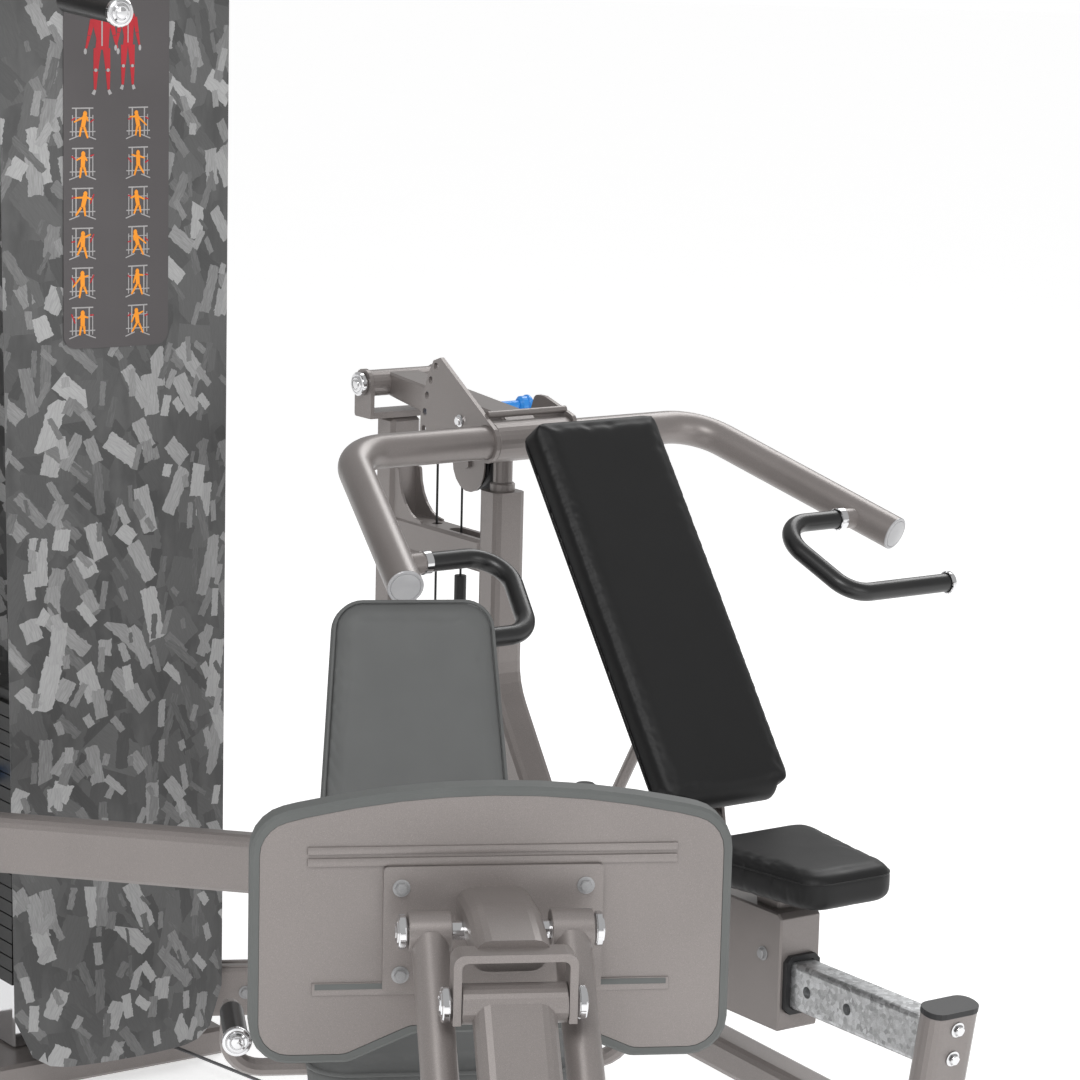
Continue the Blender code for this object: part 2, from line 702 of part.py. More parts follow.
def make_pulley(station):
    """The grooved pulley under the lever, turned from its profile."""
    groove, half = 0.0455, 0.0135
    profile = [
        (0.0068, half), (PULLEY_R, half), (PULLEY_R, half - 0.003), (groove, 0.0040),
        (groove, -0.0040), (PULLEY_R, -half + 0.003), (PULLEY_R, -half), (0.0068, -half),
    ]
    bm = bmesh.new()
    ring = [bm.verts.new((x, 0, z)) for x, z in profile]
    for a, b in zip(ring, [*ring[1:], ring[0]]):
        bm.edges.new((a, b))
    mesh = bpy.data.meshes.new("pulley")
    bm.to_mesh(mesh)
    bm.free()
    wheel = bpy.data.objects.new("pulley", mesh)
    turn = wheel.modifiers.new("turn", "SCREW")
    turn.axis = "Z"
    turn.steps = turn.render_steps = 32
    turn.use_merge_vertices = True
    turn.merge_threshold = 0.00001
    solid = settle(wheel)
    solid.data.transform(Matrix.Rotation(math.pi / 2, 4, "Y"))
    put(solid, "pulley", black_plastic(), station, side(0, *PULLEY))
    top = 0.048
    arc = [(0.053 * math.cos(a), 0.053 * math.sin(a)) for a in [math.pi * (1 + i / 9) for i in range(10)]]
    outline = [(-0.022, top), (-0.053, top - 0.020), *arc, (0.053, top - 0.020), (0.022, top)]
    guards = [shifted(plate([outline], 0.003, "X"), (x, 0, 0)) for x in (-0.0185, 0.0185)]
    axle = rod(0.0060, (-0.020, 0, 0), (0.020, 0, 0), 16)
    heads = [rod(0.0095, (s * 0.0195, 0, 0), (s * 0.026, 0, 0), 6) for s in (-1, 1)]
    put(joined(axle, *guards, *heads), "pulley_guard", paint(), station, side(0, *PULLEY))


def make_press_cables(station):
    """The lever's two cables: one ends under the lever, one runs over the pulley; a block joins them."""
    y, z = PULLEY
    radius, low = 0.0490, 0.585
    over = [side(0, y - radius, low + 0.01)]
    over += [side(0, y - radius * math.cos(a), z + radius * math.sin(a)) for a in [math.pi * i / 14 for i in range(15)]]
    over += [side(0, y + radius, low + 0.01)]
    loop = round_tube(over, 0.0024, 1)
    straight = rod(0.0024, side(0, -0.217, low + 0.01), side(0, -0.217, 1.074), 10)
    sleeve = rod(0.0115, side(0, y - radius, low + 0.01), side(0, y - radius, 0.795), 16, 0.001)
    cross = block((0.026, 0.205, 0.03), side(0, -0.126, low + 0.015), 0.004)
    put(joined(cross, loop, straight, sleeve), "press_cables", black_plastic(), station)


def make_rail(station):
    """The galvanised rail, the front post that carries it, and the post's cap."""
    start, end = 0.286, 1.238
    rail = block((RAIL_SIZE[0], end - start, RAIL_SIZE[1]), side(0, (start + end) / 2, RAIL_Z), 0.008, 3)
    holes = [rod(0.010, side(-0.1, f, RAIL_Z), side(0.1, f, RAIL_Z), 16) for f in (0.957, 1.060)]
    put(cut(rail, *holes), "bench_rail", zinc(), station)
    foot, lean = 1.2205, 0.1737
    post = flat_tube([(foot, 0.006), (foot + lean * 0.340, 0.340)], "X", 0.050, 0.100, 0.022, 4)
    bar = block((0.46, 0.07, 0.045), side(0, foot, 0.0225), 0.006)
    put(joined(post, bar), "front_post", paint(), station)
    cap = flat_tube([(foot + lean * 0.3406, 0.3406), (foot + lean * 0.350, 0.350)], "X", 0.052, 0.102, 0.023, 4)
    put(cap, "post_cap", black_plastic(), station)


def make_carriage(station):
    """The housing that slides on the rail, with the seat's post and the back's hinge lug."""
    shell = [(0.905, 0.205), (0.905, 0.398), (0.895, 0.407), (0.665, 0.407), (0.665, 0.518), (0.615, 0.518), (0.600, 0.407), (0.520, 0.360), (0.500, 0.205)]
    radii = [0.006, 0.004, 0.004, 0.004, 0.022, 0.022, 0.020, 0.020, 0.006]
    housing = plate([closed_outline(shell, radii)], 0.084, "X", 0.003)
    post = block((0.050, 0.060, 0.080), side(0, 0.845, SEAT_TOP - SEAT_THICK - 2 * GAP - 0.040), 0.003)
    body = joined(housing, post)
    bore = block((RAIL_SIZE[0] + 0.003, 1.0, RAIL_SIZE[1] + 0.003), side(0, 0.90, RAIL_Z), 0.008, 3)
    trims = [block((0.03, 0.10, 0.11), (x, -0.640, 0.468), 0.0) for x in (-0.036, 0.036)]
    pivot = rod(0.0082, side(-0.1, *BACK_PIVOT), side(0.1, *BACK_PIVOT), 14)
    put(cut(body, bore, *trims, pivot), "bench_carriage", paint(), station)
    seat = [(1.045, -0.090), (1.045, 0.090), (0.738, 0.140), (0.738, -0.140)]
    pad = plate([closed_outline([(x, -f) for f, x in seat], [0.045, 0.045, 0.035, 0.035])], SEAT_THICK, "Z", 0.012)
    put(pad, "seat_pad", black_pad(), station, (0, 0, SEAT_TOP - SEAT_THICK / 2))


def make_strut_bracket(station):
    """Two ears on the rail that hold the strut's foot, and the locking knob behind them."""
    bed = RAIL_Z + RAIL_SIZE[1] / 2 + GAP
    sole = block((0.044, 0.074, 0.008), side(0, 0.393, bed + 0.004), 0.0)
    ear = [(0.430, bed), (0.356, bed), (0.262, 0.372), (0.262, 0.425), (0.336, 0.425), (0.430, 0.345)]
    radii = [0.002, 0.010, 0.008, 0.008, 0.014, 0.006]
    ears = [shifted(plate([closed_outline(ear, radii)], 0.006, "X"), (x, 0, 0)) for x in (-0.019, 0.019)]
    saddle = block((0.040, 0.036, 0.036), side(0, KNOB_F, 0.410), 0.0)
    foot = side(0, *STRUT_FOOT)
    pin = rod(0.0058, foot - Vector((0.022, 0, 0)), foot + Vector((0.022, 0, 0)), 14)
    heads = [rod(0.010, foot + Vector((s * 0.021, 0, 0)), foot + Vector((s * 0.027, 0, 0)), 6) for s in (-1, 1)]
    way = rod(0.0075, side(0, KNOB_F, 0.38), side(0, KNOB_F, 0.44), 14)
    put(cut(joined(sole, *ears, saddle, pin, *heads), way), "strut_bracket", paint(), station)
    knob = rod(0.022, side(0, KNOB_F, 0.463), side(0, KNOB_F, 0.487), 24, 0.006)
    shank = rod(0.0065, side(0, KNOB_F, 0.397), side(0, KNOB_F, 0.470), 14)
    put(joined(knob, shank), "strut_knob", black_plastic(), station)


def make_backrest(station):
    """The sloping back pad, cut upright at its foot, with the frame behind it and the strut that props it."""
    top, foot = Vector(BACK_TOP), Vector(BACK_BOTTOM)
    up = (top - foot).normalized()
    behind = Vector((-up.y, up.x))
    if behind.x > 0:
        behind.negate()
    drop = BACK_THICK / abs(up.x)
    pivot = Vector(BACK_PIVOT)
    centre = pivot.copy()
    outline = [top, foot, foot - Vector((0, drop)), top + behind * BACK_THICK]
    pad = plate([closed_outline([p - centre for p in outline], [0.010, 0.012, 0.030, 0.010])], 2 * BACK_HALF, "X", 0.012)
    put(pad, "back_pad", black_pad(), station, side(0, *pivot))

    rear = foot + behind * (BACK_THICK + 0.0006)
    start, end = rear + up * 0.030, rear + up * 0.640
    spine = [start, end, end + behind * 0.022, start + behind * 0.022]
    hinge = [pivot + Vector((0.018, -0.014)), rear + up * 0.035, rear + up * 0.110, pivot + Vector((-0.030, 0.030)), pivot + Vector((-0.018, -0.010))]
    head = Vector(STRUT_HEAD)
    lug = [head - up * 0.030 - behind * 0.030, head + up * 0.030 - behind * 0.030, head + up * 0.012 + behind * 0.016, head - up * 0.012 + behind * 0.016]
    frame = plate([[p - centre for p in spine]], 0.050, "X")
    for x in (-0.0275, 0.0275):
        frame = joined(frame, shifted(plate([closed_outline([p - centre for p in hinge], 0.006)], 0.006, "X"), (x, 0, 0)))
    for x in (-0.0195, 0.0195):
        frame = joined(frame, shifted(plate([closed_outline([p - centre for p in lug], 0.008)], 0.006, "X"), (x, 0, 0)))
    head_at = side(0, *(head - centre))
    frame = joined(frame, rod(0.0074, (-0.035, 0, 0), (0.035, 0, 0), 14), rod(0.0058, head_at - Vector((0.021, 0, 0)), head_at + Vector((0.021, 0, 0)), 12))
    put(frame, "back_frame", paint(), station, side(0, *pivot))

    reach = side(0, *head) - side(0, *STRUT_FOOT)
    bar = rod(0.011, (0, 0, 0), reach, 16)
    eyes = [rod(0.0140, p - Vector((0.0145, 0, 0)), p + Vector((0.0145, 0, 0)), 18) for p in (Vector(), reach)]
    holes = [rod(r, p - Vector((0.1, 0, 0)), p + Vector((0.1, 0, 0)), 14) for p, r in ((Vector(), 0.0066), (reach, 0.0078))]
    put(cut(joined(bar, *eyes), *holes), "back_strut", paint(), station, side(0, *STRUT_FOOT))


# ---------------------------------------------------------------- leg press

def foot_outline(grow=0.0):
    """The foot plate's outline: arched top, rounded corners and a notch under the links."""
    half, low = FOOT_HALF + grow, FOOT_BOTTOM + 0.012 - grow
    notch_top = 0.615 - grow
    top = []
    for i in range(11):
        x = half - 2 * half * i / 10
        top.append((x, FOOT_SIDE_TOP + grow + (FOOT_CROWN - FOOT_SIDE_TOP) * (1 - (x / half) ** 2)))
    corners = [(-half, low), (-0.190 + grow * 0.4, low), (-0.105 + grow * 0.5, notch_top), (0.105 - grow * 0.5, notch_top), (0.190 - grow * 0.4, low), (half, low)]
    radii = [0.040 + grow, 0.030, 0.030, 0.030, 0.030, 0.040 + grow]
    shape = closed_outline([*corners, *top], [*radii, 0.045 + grow, *[0.0] * 9, 0.045 + grow], 20)
    return [(p.x, p.y) for p in shape]


def make_foot_plate(station):
    put(plate([foot_outline()], FOOT_SHEET, "Y"), "foot_plate", paint(), station)
    mat = shifted(plate([foot_outline(0.0120)], 0.040, "Y", 0.004), (0, 0.0160, 0))
    pocket = shifted(plate([foot_outline(0.0005)], 0.100, "Y"), (0, 0.0035 - 0.050, 0))
    put(cut(mat, pocket), "foot_mat", rubber_edge(), station)


def make_coupler(station):
    """Mounting plate, the arched beam in front of it and the flat-bar yoke over the centre link."""
    back = FOOT_SHEET / 2 + GAP
    outline = [(-0.143, 0.663), (0.143, 0.663), (0.143, 0.830), (-0.143, 0.830)]
    mount = shifted(plate([closed_outline(outline, 0.006)], 0.008, "Y"), (0, -(back + 0.004), 0))
    f, z = LOWER_AXLE
    route = rounded([(back + 0.004, 0.772), (0.110, 0.778), (f - 0.012, z + 0.050)], [0.10], 40)
    arch = flat_tube(route, "X", 0.058, 0.098, 0.022, 4)
    yoke_out = closed_outline([(-0.0777, z - 0.022), (0.0777, z - 0.022), (0.0777, z + 0.068), (-0.0777, z + 0.068)], [0, 0, 0.014, 0.014])
    yoke_in = closed_outline([(-0.0675, z - 0.1), (0.0675, z - 0.1), (0.0675, z + 0.058), (-0.0675, z + 0.058)], [0, 0, 0.008, 0.008])
    outer = shifted(plate([yoke_out], 0.042, "Y"), (0, -f, 0))
    inner = shifted(plate([yoke_in], 0.2, "Y"), (0, -f, 0))
    bores = [rod(0.0124, side(-0.2, *UPPER_AXLE), side(0.2, *UPPER_AXLE), 20), rod(0.0124, side(-0.2, f, z), side(0.2, f, z), 20)]
    link_way = block((0.135, 0.090, 0.10), side(0, f, z + 0.008), 0.0)
    arch_part = cut(arch, link_way)
    put(cut(joined(mount, arch_part, cut(outer, inner)), *bores), "foot_coupler", paint(), station)


def make_axles(station):
    for name, at, half in (("upper_axle", UPPER_AXLE, 0.1195), ("lower_axle", LOWER_AXLE, 0.0784)):
        shaft = rod(0.0120, (-half - 0.002, 0, 0), (half + 0.002, 0, 0), 20)
        caps = [rod(0.0215, (s * half, 0, 0), (s * (half + 0.007), 0, 0), 24, 0.0025) for s in (-1, 1)]
        put(joined(shaft, *caps), name, chrome(), station, side(0, *at))


def make_links(station):
    low = (UPPER_AXLE[0] + LINK[0], UPPER_AXLE[1] + LINK[1])
    reach = side(0, -LINK[0], -LINK[1])
    for name, sign in (("outer_link_right", 1), ("outer_link_left", -1)):
        inner, outer = 0.0640, 0.1187
        middle = Vector((sign * 0.093, 0, 0))
        eyes = [rod(0.026, p + Vector((sign * inner, 0, 0)), p + Vector((sign * outer, 0, 0)), 24, 0.001) for p in (Vector(), reach)]
        tube = rod(0.024, middle, middle + reach, 20)
        holes = [rod(0.0130, p - Vector((0.3, 0, 0)), p + Vector((0.3, 0, 0)), 20) for p in (Vector(), reach)]
        put(cut(joined(tube, *eyes), *holes), name, paint(), station, side(0, *low))
    low = (LOWER_AXLE[0] + LINK[0], LOWER_AXLE[1] + LINK[1])
    body = flat_tube([(0, 0), (-LINK[0], -LINK[1])], "X", 0.044, 0.106, 0.021, 4)
    eyes = [rod(0.0255, p - Vector((w, 0, 0)), p + Vector((w, 0, 0)), 24, 0.001) for p, w in ((Vector(), 0.0545), (reach, 0.0662))]
    holes = [rod(0.0130, Vector((-0.3, 0, 0)), Vector((0.3, 0, 0)), 20), rod(0.0145, reach - Vector((0.3, 0, 0)), reach + Vector((0.3, 0, 0)), 20)]
    put(cut(joined(body, *eyes), *holes), "centre_link", paint(), station, side(0, *low))


def make_leg_bracket(station):
    """Two cheeks on a sole: pins outside for the outer links, one pin between for the centre link."""
    fo, zo = UPPER_AXLE[0] + LINK[0], UPPER_AXLE[1] + LINK[1]
    fc, zc = LOWER_AXLE[0] + LINK[0], LOWER_AXLE[1] + LINK[1]
    outline = [(fo - 0.05, 0.0605), (fc + 0.05, 0.0605), (fc + 0.030, zc + 0.028), (fo + 0.012, zo + 0.030), (fo - 0.028, zo + 0.020)]
    cheeks = [shifted(plate([closed_outline(outline, [0.004, 0.004, 0.02, 0.02, 0.02])], 0.008, "X"), (x, 0, 0)) for x in (-0.0597, 0.0597)]
    sole = block((0.126, 0.232, 0.010), side(0, (fo + fc) / 2 + 0.0, 0.0655), 0.0)
    inner = rod(0.0120, side(-0.063, fc, zc), side(0.063, fc, zc), 20)
    stubs = [rod(0.0120, side(s * 0.060, fo, zo), side(s * 0.124, fo, zo), 20, 0.002) for s in (-1, 1)]
    put(joined(sole, *cheeks, inner, *stubs), "link_bracket", paint(), station)


def make_leg_base(station):
    spine = block((0.100, 2.10, 0.060), side(0, -0.150, 0.030), 0.008)
    front = block((0.56, 0.080, 0.060), side(0, 0.860, 0.030), 0.008)
    rear = block((0.56, 0.080, 0.060), side(0, -1.170, 0.030), 0.008)
    posts = [block((0.060, 0.060, 0.28), side(0, f, 0.160), 0.006) for f in (-0.500, -0.860)]
    put(joined(spine, front, rear, *posts), "leg_base", paint(), station)
    route = rounded([(-0.440, 0.325), (-0.930, 0.325), (-1.115, 0.84)], [0.10], 36)
    frame = flat_tube(route, "X", 0.045, 0.060, 0.008, 2)
    bend = [side(x, f, z) for x, f, z in ((-0.300, -0.480, 0.437), (-0.300, -0.660, 0.437), (-0.300, -0.700, 0.322))]
    handles = rounded([*bend, *[Vector((-p.x, p.y, p.z)) for p in reversed(bend)]], [0.040, 0.050, 0.050, 0.040])
    put(joined(frame, round_tube(handles, 0.0135)), "leg_seat_frame", paint(), station)


def make_leg_pads(station):
    """The wide seat cushion and the narrow tapering back cushion."""
    outline = [(-0.205, 0.40), (0.205, 0.40), (0.185, 0.830), (-0.185, 0.830)]
    seat = plate([closed_outline([(x, y) for x, y in outline], [0.06, 0.06, 0.05, 0.05])], 0.075, "Z", 0.015)
    put(seat, "leg_seat_pad", grey_pad(), station, (0, 0, 0.3478 + 0.0375 + 0.0007))
    low, high = Vector((0, 0.872, 0.475)), Vector((0, 1.014, 0.968))
    up = (high - low).normalized()
    outline = [(-0.160, 0), (0.160, 0), (0.122, (high - low).length), (-0.122, (high - low).length)]
    pad = plate([closed_outline(outline, [0.05, 0.05, 0.045, 0.045])], 0.060, "Y", 0.015)
    pad.data.transform(Matrix.Rotation(-math.atan2(up.y, up.z), 4, "X"))
    put(pad, "leg_back_pad", grey_pad(), station, low)


# ---------------------------------------------------------------- the whole gym

for old in list(bpy.data.objects):
    bpy.data.objects.remove(old, do_unlink=True)
PARTS = collection("multi_station_home_gym")
HELPERS = collection("helpers", hidden=True)

gym = empty("gym", None, PLAN_SHIFT)
tower = empty("tower", gym, (TOWER_X, 0, 0))
press = empty("press_station", gym, PRESS_AT)
leg = empty("leg_station", gym, LEG_AT, (0, 0, LEG_TURN))

make_tower_frame(tower)
make_shrouds(tower)
make_stacks(tower)
make_pull_up_bar(tower)
make_arch_beam(gym)
make_tie_beam(gym)
make_low_cable(gym)
make_press_frame(press)
make_pivot(press)
make_lever(press)
make_pull_pin(press)
make_arms(press)
make_pulley(press)
make_press_cables(press)
make_rail(press)
make_carriage(press)
make_strut_bracket(press)
make_backrest(press)
make_foot_plate(leg)
make_coupler(leg)
make_axles(leg)
make_links(leg)
make_leg_bracket(leg)
make_leg_base(leg)
make_leg_pads(leg)
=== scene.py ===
"""The multi station home gym's look: finishes, upholstery, small fittings, floor, light and camera."""

import json
import math
import random

import bmesh
import bpy
from mathutils import Matrix, Vector


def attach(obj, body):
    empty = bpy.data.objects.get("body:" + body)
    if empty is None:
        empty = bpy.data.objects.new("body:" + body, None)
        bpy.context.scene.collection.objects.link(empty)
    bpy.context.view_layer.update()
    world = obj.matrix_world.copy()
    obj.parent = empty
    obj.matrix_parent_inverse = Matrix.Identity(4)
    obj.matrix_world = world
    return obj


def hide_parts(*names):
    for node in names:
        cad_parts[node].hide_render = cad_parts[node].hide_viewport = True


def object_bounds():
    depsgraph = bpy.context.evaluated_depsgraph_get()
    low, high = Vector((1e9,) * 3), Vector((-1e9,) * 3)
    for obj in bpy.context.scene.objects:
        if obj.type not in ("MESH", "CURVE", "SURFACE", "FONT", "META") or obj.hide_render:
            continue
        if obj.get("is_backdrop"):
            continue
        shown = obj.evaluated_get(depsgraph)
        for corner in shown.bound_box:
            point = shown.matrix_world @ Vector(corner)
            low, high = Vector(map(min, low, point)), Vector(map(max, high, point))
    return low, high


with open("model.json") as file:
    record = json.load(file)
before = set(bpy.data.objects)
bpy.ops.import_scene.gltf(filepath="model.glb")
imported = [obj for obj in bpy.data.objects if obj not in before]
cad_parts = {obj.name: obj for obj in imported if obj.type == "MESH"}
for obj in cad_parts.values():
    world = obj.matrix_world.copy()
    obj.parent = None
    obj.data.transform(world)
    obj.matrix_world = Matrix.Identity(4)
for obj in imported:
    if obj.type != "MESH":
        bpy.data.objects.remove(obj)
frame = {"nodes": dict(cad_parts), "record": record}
NODES = frame["nodes"]


def write_size(key, kept):
    low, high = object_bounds()
    kept[key] = [list(low), list(high)]


SIZE = {}
write_size("cad", SIZE)

# ---- Where each station stands ----
PLAN = Vector((-0.5216, 1.0252, 0.0))
TOWER = Matrix.Translation(PLAN + Vector((-0.05, 0.0, 0.0)))
PRESS = Matrix.Translation(PLAN + Vector((1.147, 0.066, 0.0)))
LEG = Matrix.Translation(PLAN + Vector((0.0162, -1.5851, 0.0))) @ Matrix.Rotation(math.radians(-26.7), 4, "Z")
CROSS = (0.076, 1.082)
PIVOT = (-0.353, 1.133)
UPPER_AXLE = (0.080, 0.7645)
LOWER_AXLE = (0.215, 0.711)


def at(x, forward, z):
    return Vector((x, -forward, z))


# ---------------------------------------------------------------- materials

class Nodes:
    """A small helper that adds shader nodes and joins them."""

    def __init__(self, name):
        self.material = bpy.data.materials.new(name)
        self.material.use_nodes = True
        self.tree = self.material.node_tree
        self.shader = self.tree.nodes["Principled BSDF"]
        self.coords = self.tree.nodes.new("ShaderNodeTexCoord").outputs["Object"]

    def add(self, kind, inputs=None, **settings):
        node = self.tree.nodes.new(kind)
        for key, value in settings.items():
            setattr(node, key, value)
        for key, value in (inputs or {}).items():
            self.feed(node.inputs[key], value)
        return node

    def feed(self, socket, value):
        if isinstance(value, bpy.types.NodeSocket):
            self.tree.links.new(value, socket)
        else:
            socket.default_value = value

    def math(self, operation, a, b=0.0, clamp=False):
        return self.add("ShaderNodeMath", {0: a, 1: b}, operation=operation, use_clamp=clamp).outputs[0]

    def vector(self, operation, a, b=(0, 0, 0)):
        return self.add("ShaderNodeVectorMath", {0: a, 1: b}, operation=operation).outputs[0]

    def noise(self, scale, detail=3.0, where=None, roughness=0.5):
        return self.add("ShaderNodeTexNoise", {
            "Vector": self.coords if where is None else where, "Scale": scale, "Detail": detail, "Roughness": roughness,
        }).outputs[0]

    def ramp(self, value, stops):
        node = self.add("ShaderNodeValToRGB", {0: value})
        elements = node.color_ramp.elements
        while len(elements) < len(stops):
            elements.new(0.5)
        for element, (place, color) in zip(elements, stops):
            element.position = place
            element.color = (*color, 1.0) if isinstance(color, tuple) else (color, color, color, 1.0)
        return node.outputs[0]

    def mix(self, share, a, b):
        node = self.add("ShaderNodeMix", data_type="RGBA")
        self.feed(node.inputs[0], share)
        for socket, value in ((node.inputs[6], a), (node.inputs[7], b)):
            self.feed(socket, (*value, 1.0) if isinstance(value, tuple) else value)
        return node.outputs[2]

    def bump(self, height, strength, distance, after=None):
        inputs = {"Height": height, "Strength": strength, "Distance": distance}
        if after is not None:
            inputs["Normal"] = after
        return self.add("ShaderNodeBump", inputs).outputs[0]

    def finish(self, **values):
        names = {"color": "Base Color", "rough": "Roughness", "metal": "Metallic", "normal": "Normal",
                 "coat": "Coat Weight", "coat_rough": "Coat Roughness", "sheen": "Sheen Weight",
                 "specular": "Specular IOR Level"}
        for key, value in values.items():
            self.feed(self.shader.inputs[names[key]], (*value, 1.0) if isinstance(value, tuple) else value)
        return self.material


def paint_finish(name, tone, dark=1.0):
    """Warm grey metallic powder paint with a fine sparkle and faint unevenness."""
    n = Nodes(name)
    sparkle = n.noise(1500.0, 1.0)
    cloud = n.noise(5.0, 3.0)
    base = n.mix(n.ramp(cloud, [(0.3, 0.0), (0.7, 1.0)]), tuple(c * 0.94 * dark for c in tone), tuple(c * 1.05 * dark for c in tone))
    flecked = n.mix(n.ramp(sparkle, [(0.60, 0.0), (0.72, 0.6)]), base, tuple(min(1, c * 1.7) for c in tone))
    flecked = n.mix(n.ramp(sparkle, [(0.30, 0.45), (0.42, 0.0)]), flecked, tuple(c * 0.6 for c in tone))
    peel = n.bump(n.noise(420.0, 2.0), 0.10, 0.0006)
    rough = n.math("ADD", n.math("MULTIPLY", cloud, 0.10), 0.33)
    return n.finish(color=flecked, rough=rough, metal=0.35, normal=peel, coat=0.18, coat_rough=0.25)


def chrome_finish():
    n = Nodes("polished_chrome")
    haze = n.noise(60.0, 4.0)
    rough = n.math("ADD", n.math("MULTIPLY", haze, 0.06), 0.05)
    scratch = n.noise(900.0, 2.0)
    return n.finish(color=(0.72, 0.72, 0.73), rough=rough, metal=1.0, normal=n.bump(scratch, 0.03, 0.0002))


def zinc_finish():
    """Hot-dip spangle: patches of slightly different grey with a speckle on top."""
    n = Nodes("spangled_zinc")
    cells = n.add("ShaderNodeTexVoronoi", {"Vector": n.coords, "Scale": 130.0})
    speck = n.noise(700.0, 4.0, roughness=0.7)
    value = n.math("ADD", n.math("MULTIPLY", cells.outputs["Color"], 0.45), n.math("MULTIPLY", speck, 0.75))
    color = n.ramp(value, [(0.25, (0.20, 0.20, 0.205)), (0.50, (0.42, 0.425, 0.43)), (0.85, (0.72, 0.73, 0.74))])
    return n.finish(color=color, rough=n.math("ADD", n.math("MULTIPLY", speck, 0.25), 0.25), metal=0.85, normal=n.bump(speck, 0.15, 0.0005))


def vinyl_finish(name, tone, rough):
    """Fine-grained upholstery vinyl."""
    n = Nodes(name)
    grain = n.add("ShaderNodeTexVoronoi", {"Vector": n.coords, "Scale": 620.0}, feature="DISTANCE_TO_EDGE").outputs["Distance"]
    pores = n.ramp(grain, [(0.0, 0.0), (0.35, 1.0)])
    soft = n.noise(14.0, 3.0)
    color = n.mix(n.ramp(soft, [(0.3, 0.0), (0.7, 1.0)]), tuple(c * 0.96 for c in tone), tuple(c * 1.04 for c in tone))
    normal = n.bump(pores, 0.10, 0.0005)
    normal = n.bump(soft, 0.05, 0.004, normal)
    return n.finish(color=color, rough=n.math("ADD", n.math("MULTIPLY", soft, 0.12), rough), normal=normal, specular=0.30)


def rubber_finish(name, tone, rough=0.6, coat=0.0):
    n = Nodes(name)
    pit = n.noise(900.0, 3.0, roughness=0.7)
    dust = n.noise(9.0, 3.0)
    color = n.mix(n.ramp(dust, [(0.4, 0.0), (0.75, 0.5)]), tone, tuple(min(1.0, c * 1.3 + 0.004) for c in tone))
    return n.finish(color=color, rough=n.math("ADD", n.math("MULTIPLY", dust, 0.12), rough), normal=n.bump(pit, 0.12, 0.0004), coat=coat, coat_rough=0.2)


def plastic_finish(name, tone, rough=0.32, coat=0.2):
    n = Nodes(name)
    grain = n.noise(500.0, 2.0)
    tint = n.noise(12.0, 2.0)
    color = n.mix(tint, tuple(c * 0.93 for c in tone), tuple(min(1.0, c * 1.07) for c in tone))
    return n.finish(color=color, rough=n.math("ADD", n.math("MULTIPLY", grain, 0.08), rough), normal=n.bump(grain, 0.05, 0.0003), coat=coat)


def cable_finish():
    """A coated wire rope: its strands show as a fine slanting rib, and the same bands paint shade into the grooves
    between the strands and lighter tops onto them.
    """
    n = Nodes("coated_cable")
    strand_ribs_and_groove_shade = n.add("ShaderNodeTexWave", {"Vector": n.coords, "Scale": 120.0, "Distortion": 0.2}, bands_direction="DIAGONAL").outputs["Color"]
    # Painted shade and highlight: the colour follows the bump, darker in the grooves between strands and lighter on the
    # strand tops.
    return n.finish(color=n.mix(strand_ribs_and_groove_shade, (0.10, 0.10, 0.104), (0.16, 0.16, 0.165)), rough=0.4, normal=n.bump(strand_ribs_and_groove_shade, 0.3, 0.0006))


def flake_layer(n, plane, cell, shift, size, below, tones):
    """One scatter of slim, randomly turned chips laid over what is below."""
    moved = n.vector("ADD", n.vector("MULTIPLY", plane, (1 / cell, 1 / cell, 0)), shift)
    cells = n.add("ShaderNodeTexVoronoi", {"Vector": moved, "Scale": 1.0}, voronoi_dimensions="2D")
    offset = n.vector("SUBTRACT", moved, cells.outputs["Position"])
    pick = n.add("ShaderNodeSeparateColor", {0: cells.outputs["Color"]})
    turned = n.add("ShaderNodeVectorRotate", {"Vector": offset, "Angle": n.math("MULTIPLY_ADD", pick.outputs[0], 1.5)}, rotation_type="Z_AXIS")
    lean = turned.inputs["Angle"].links[0].from_node
    lean.inputs[2].default_value = -0.95
    parts = n.add("ShaderNodeSeparateXYZ", {0: turned.outputs[0]})
    ragged = n.math("MULTIPLY", n.math("SUBTRACT", n.noise(9.0, 3.0, moved), 0.5), 0.10)
    wide = n.math("ADD", n.math("MULTIPLY", pick.outputs[1], size[0] * 0.9), size[0] * 0.4)
    long = n.math("ADD", n.math("MULTIPLY", pick.outputs[2], size[1]), size[1] * 0.5)
    over = n.math("MULTIPLY", n.math("LESS_THAN", n.math("ABSOLUTE", n.math("ADD", parts.outputs[0], ragged)), wide),
                  n.math("LESS_THAN", n.math("ABSOLUTE", n.math("ADD", parts.outputs[1], ragged)), long))
    streak = n.noise(6.0, 5.0, n.vector("MULTIPLY", turned.outputs[0], (7.0, 0.7, 0.0)), 0.65)
    shade = n.math("ADD", n.math("MULTIPLY", pick.outputs[1], 0.55), n.math("MULTIPLY", streak, 0.50))
    return n.mix(over, below, n.ramp(shade, tones))


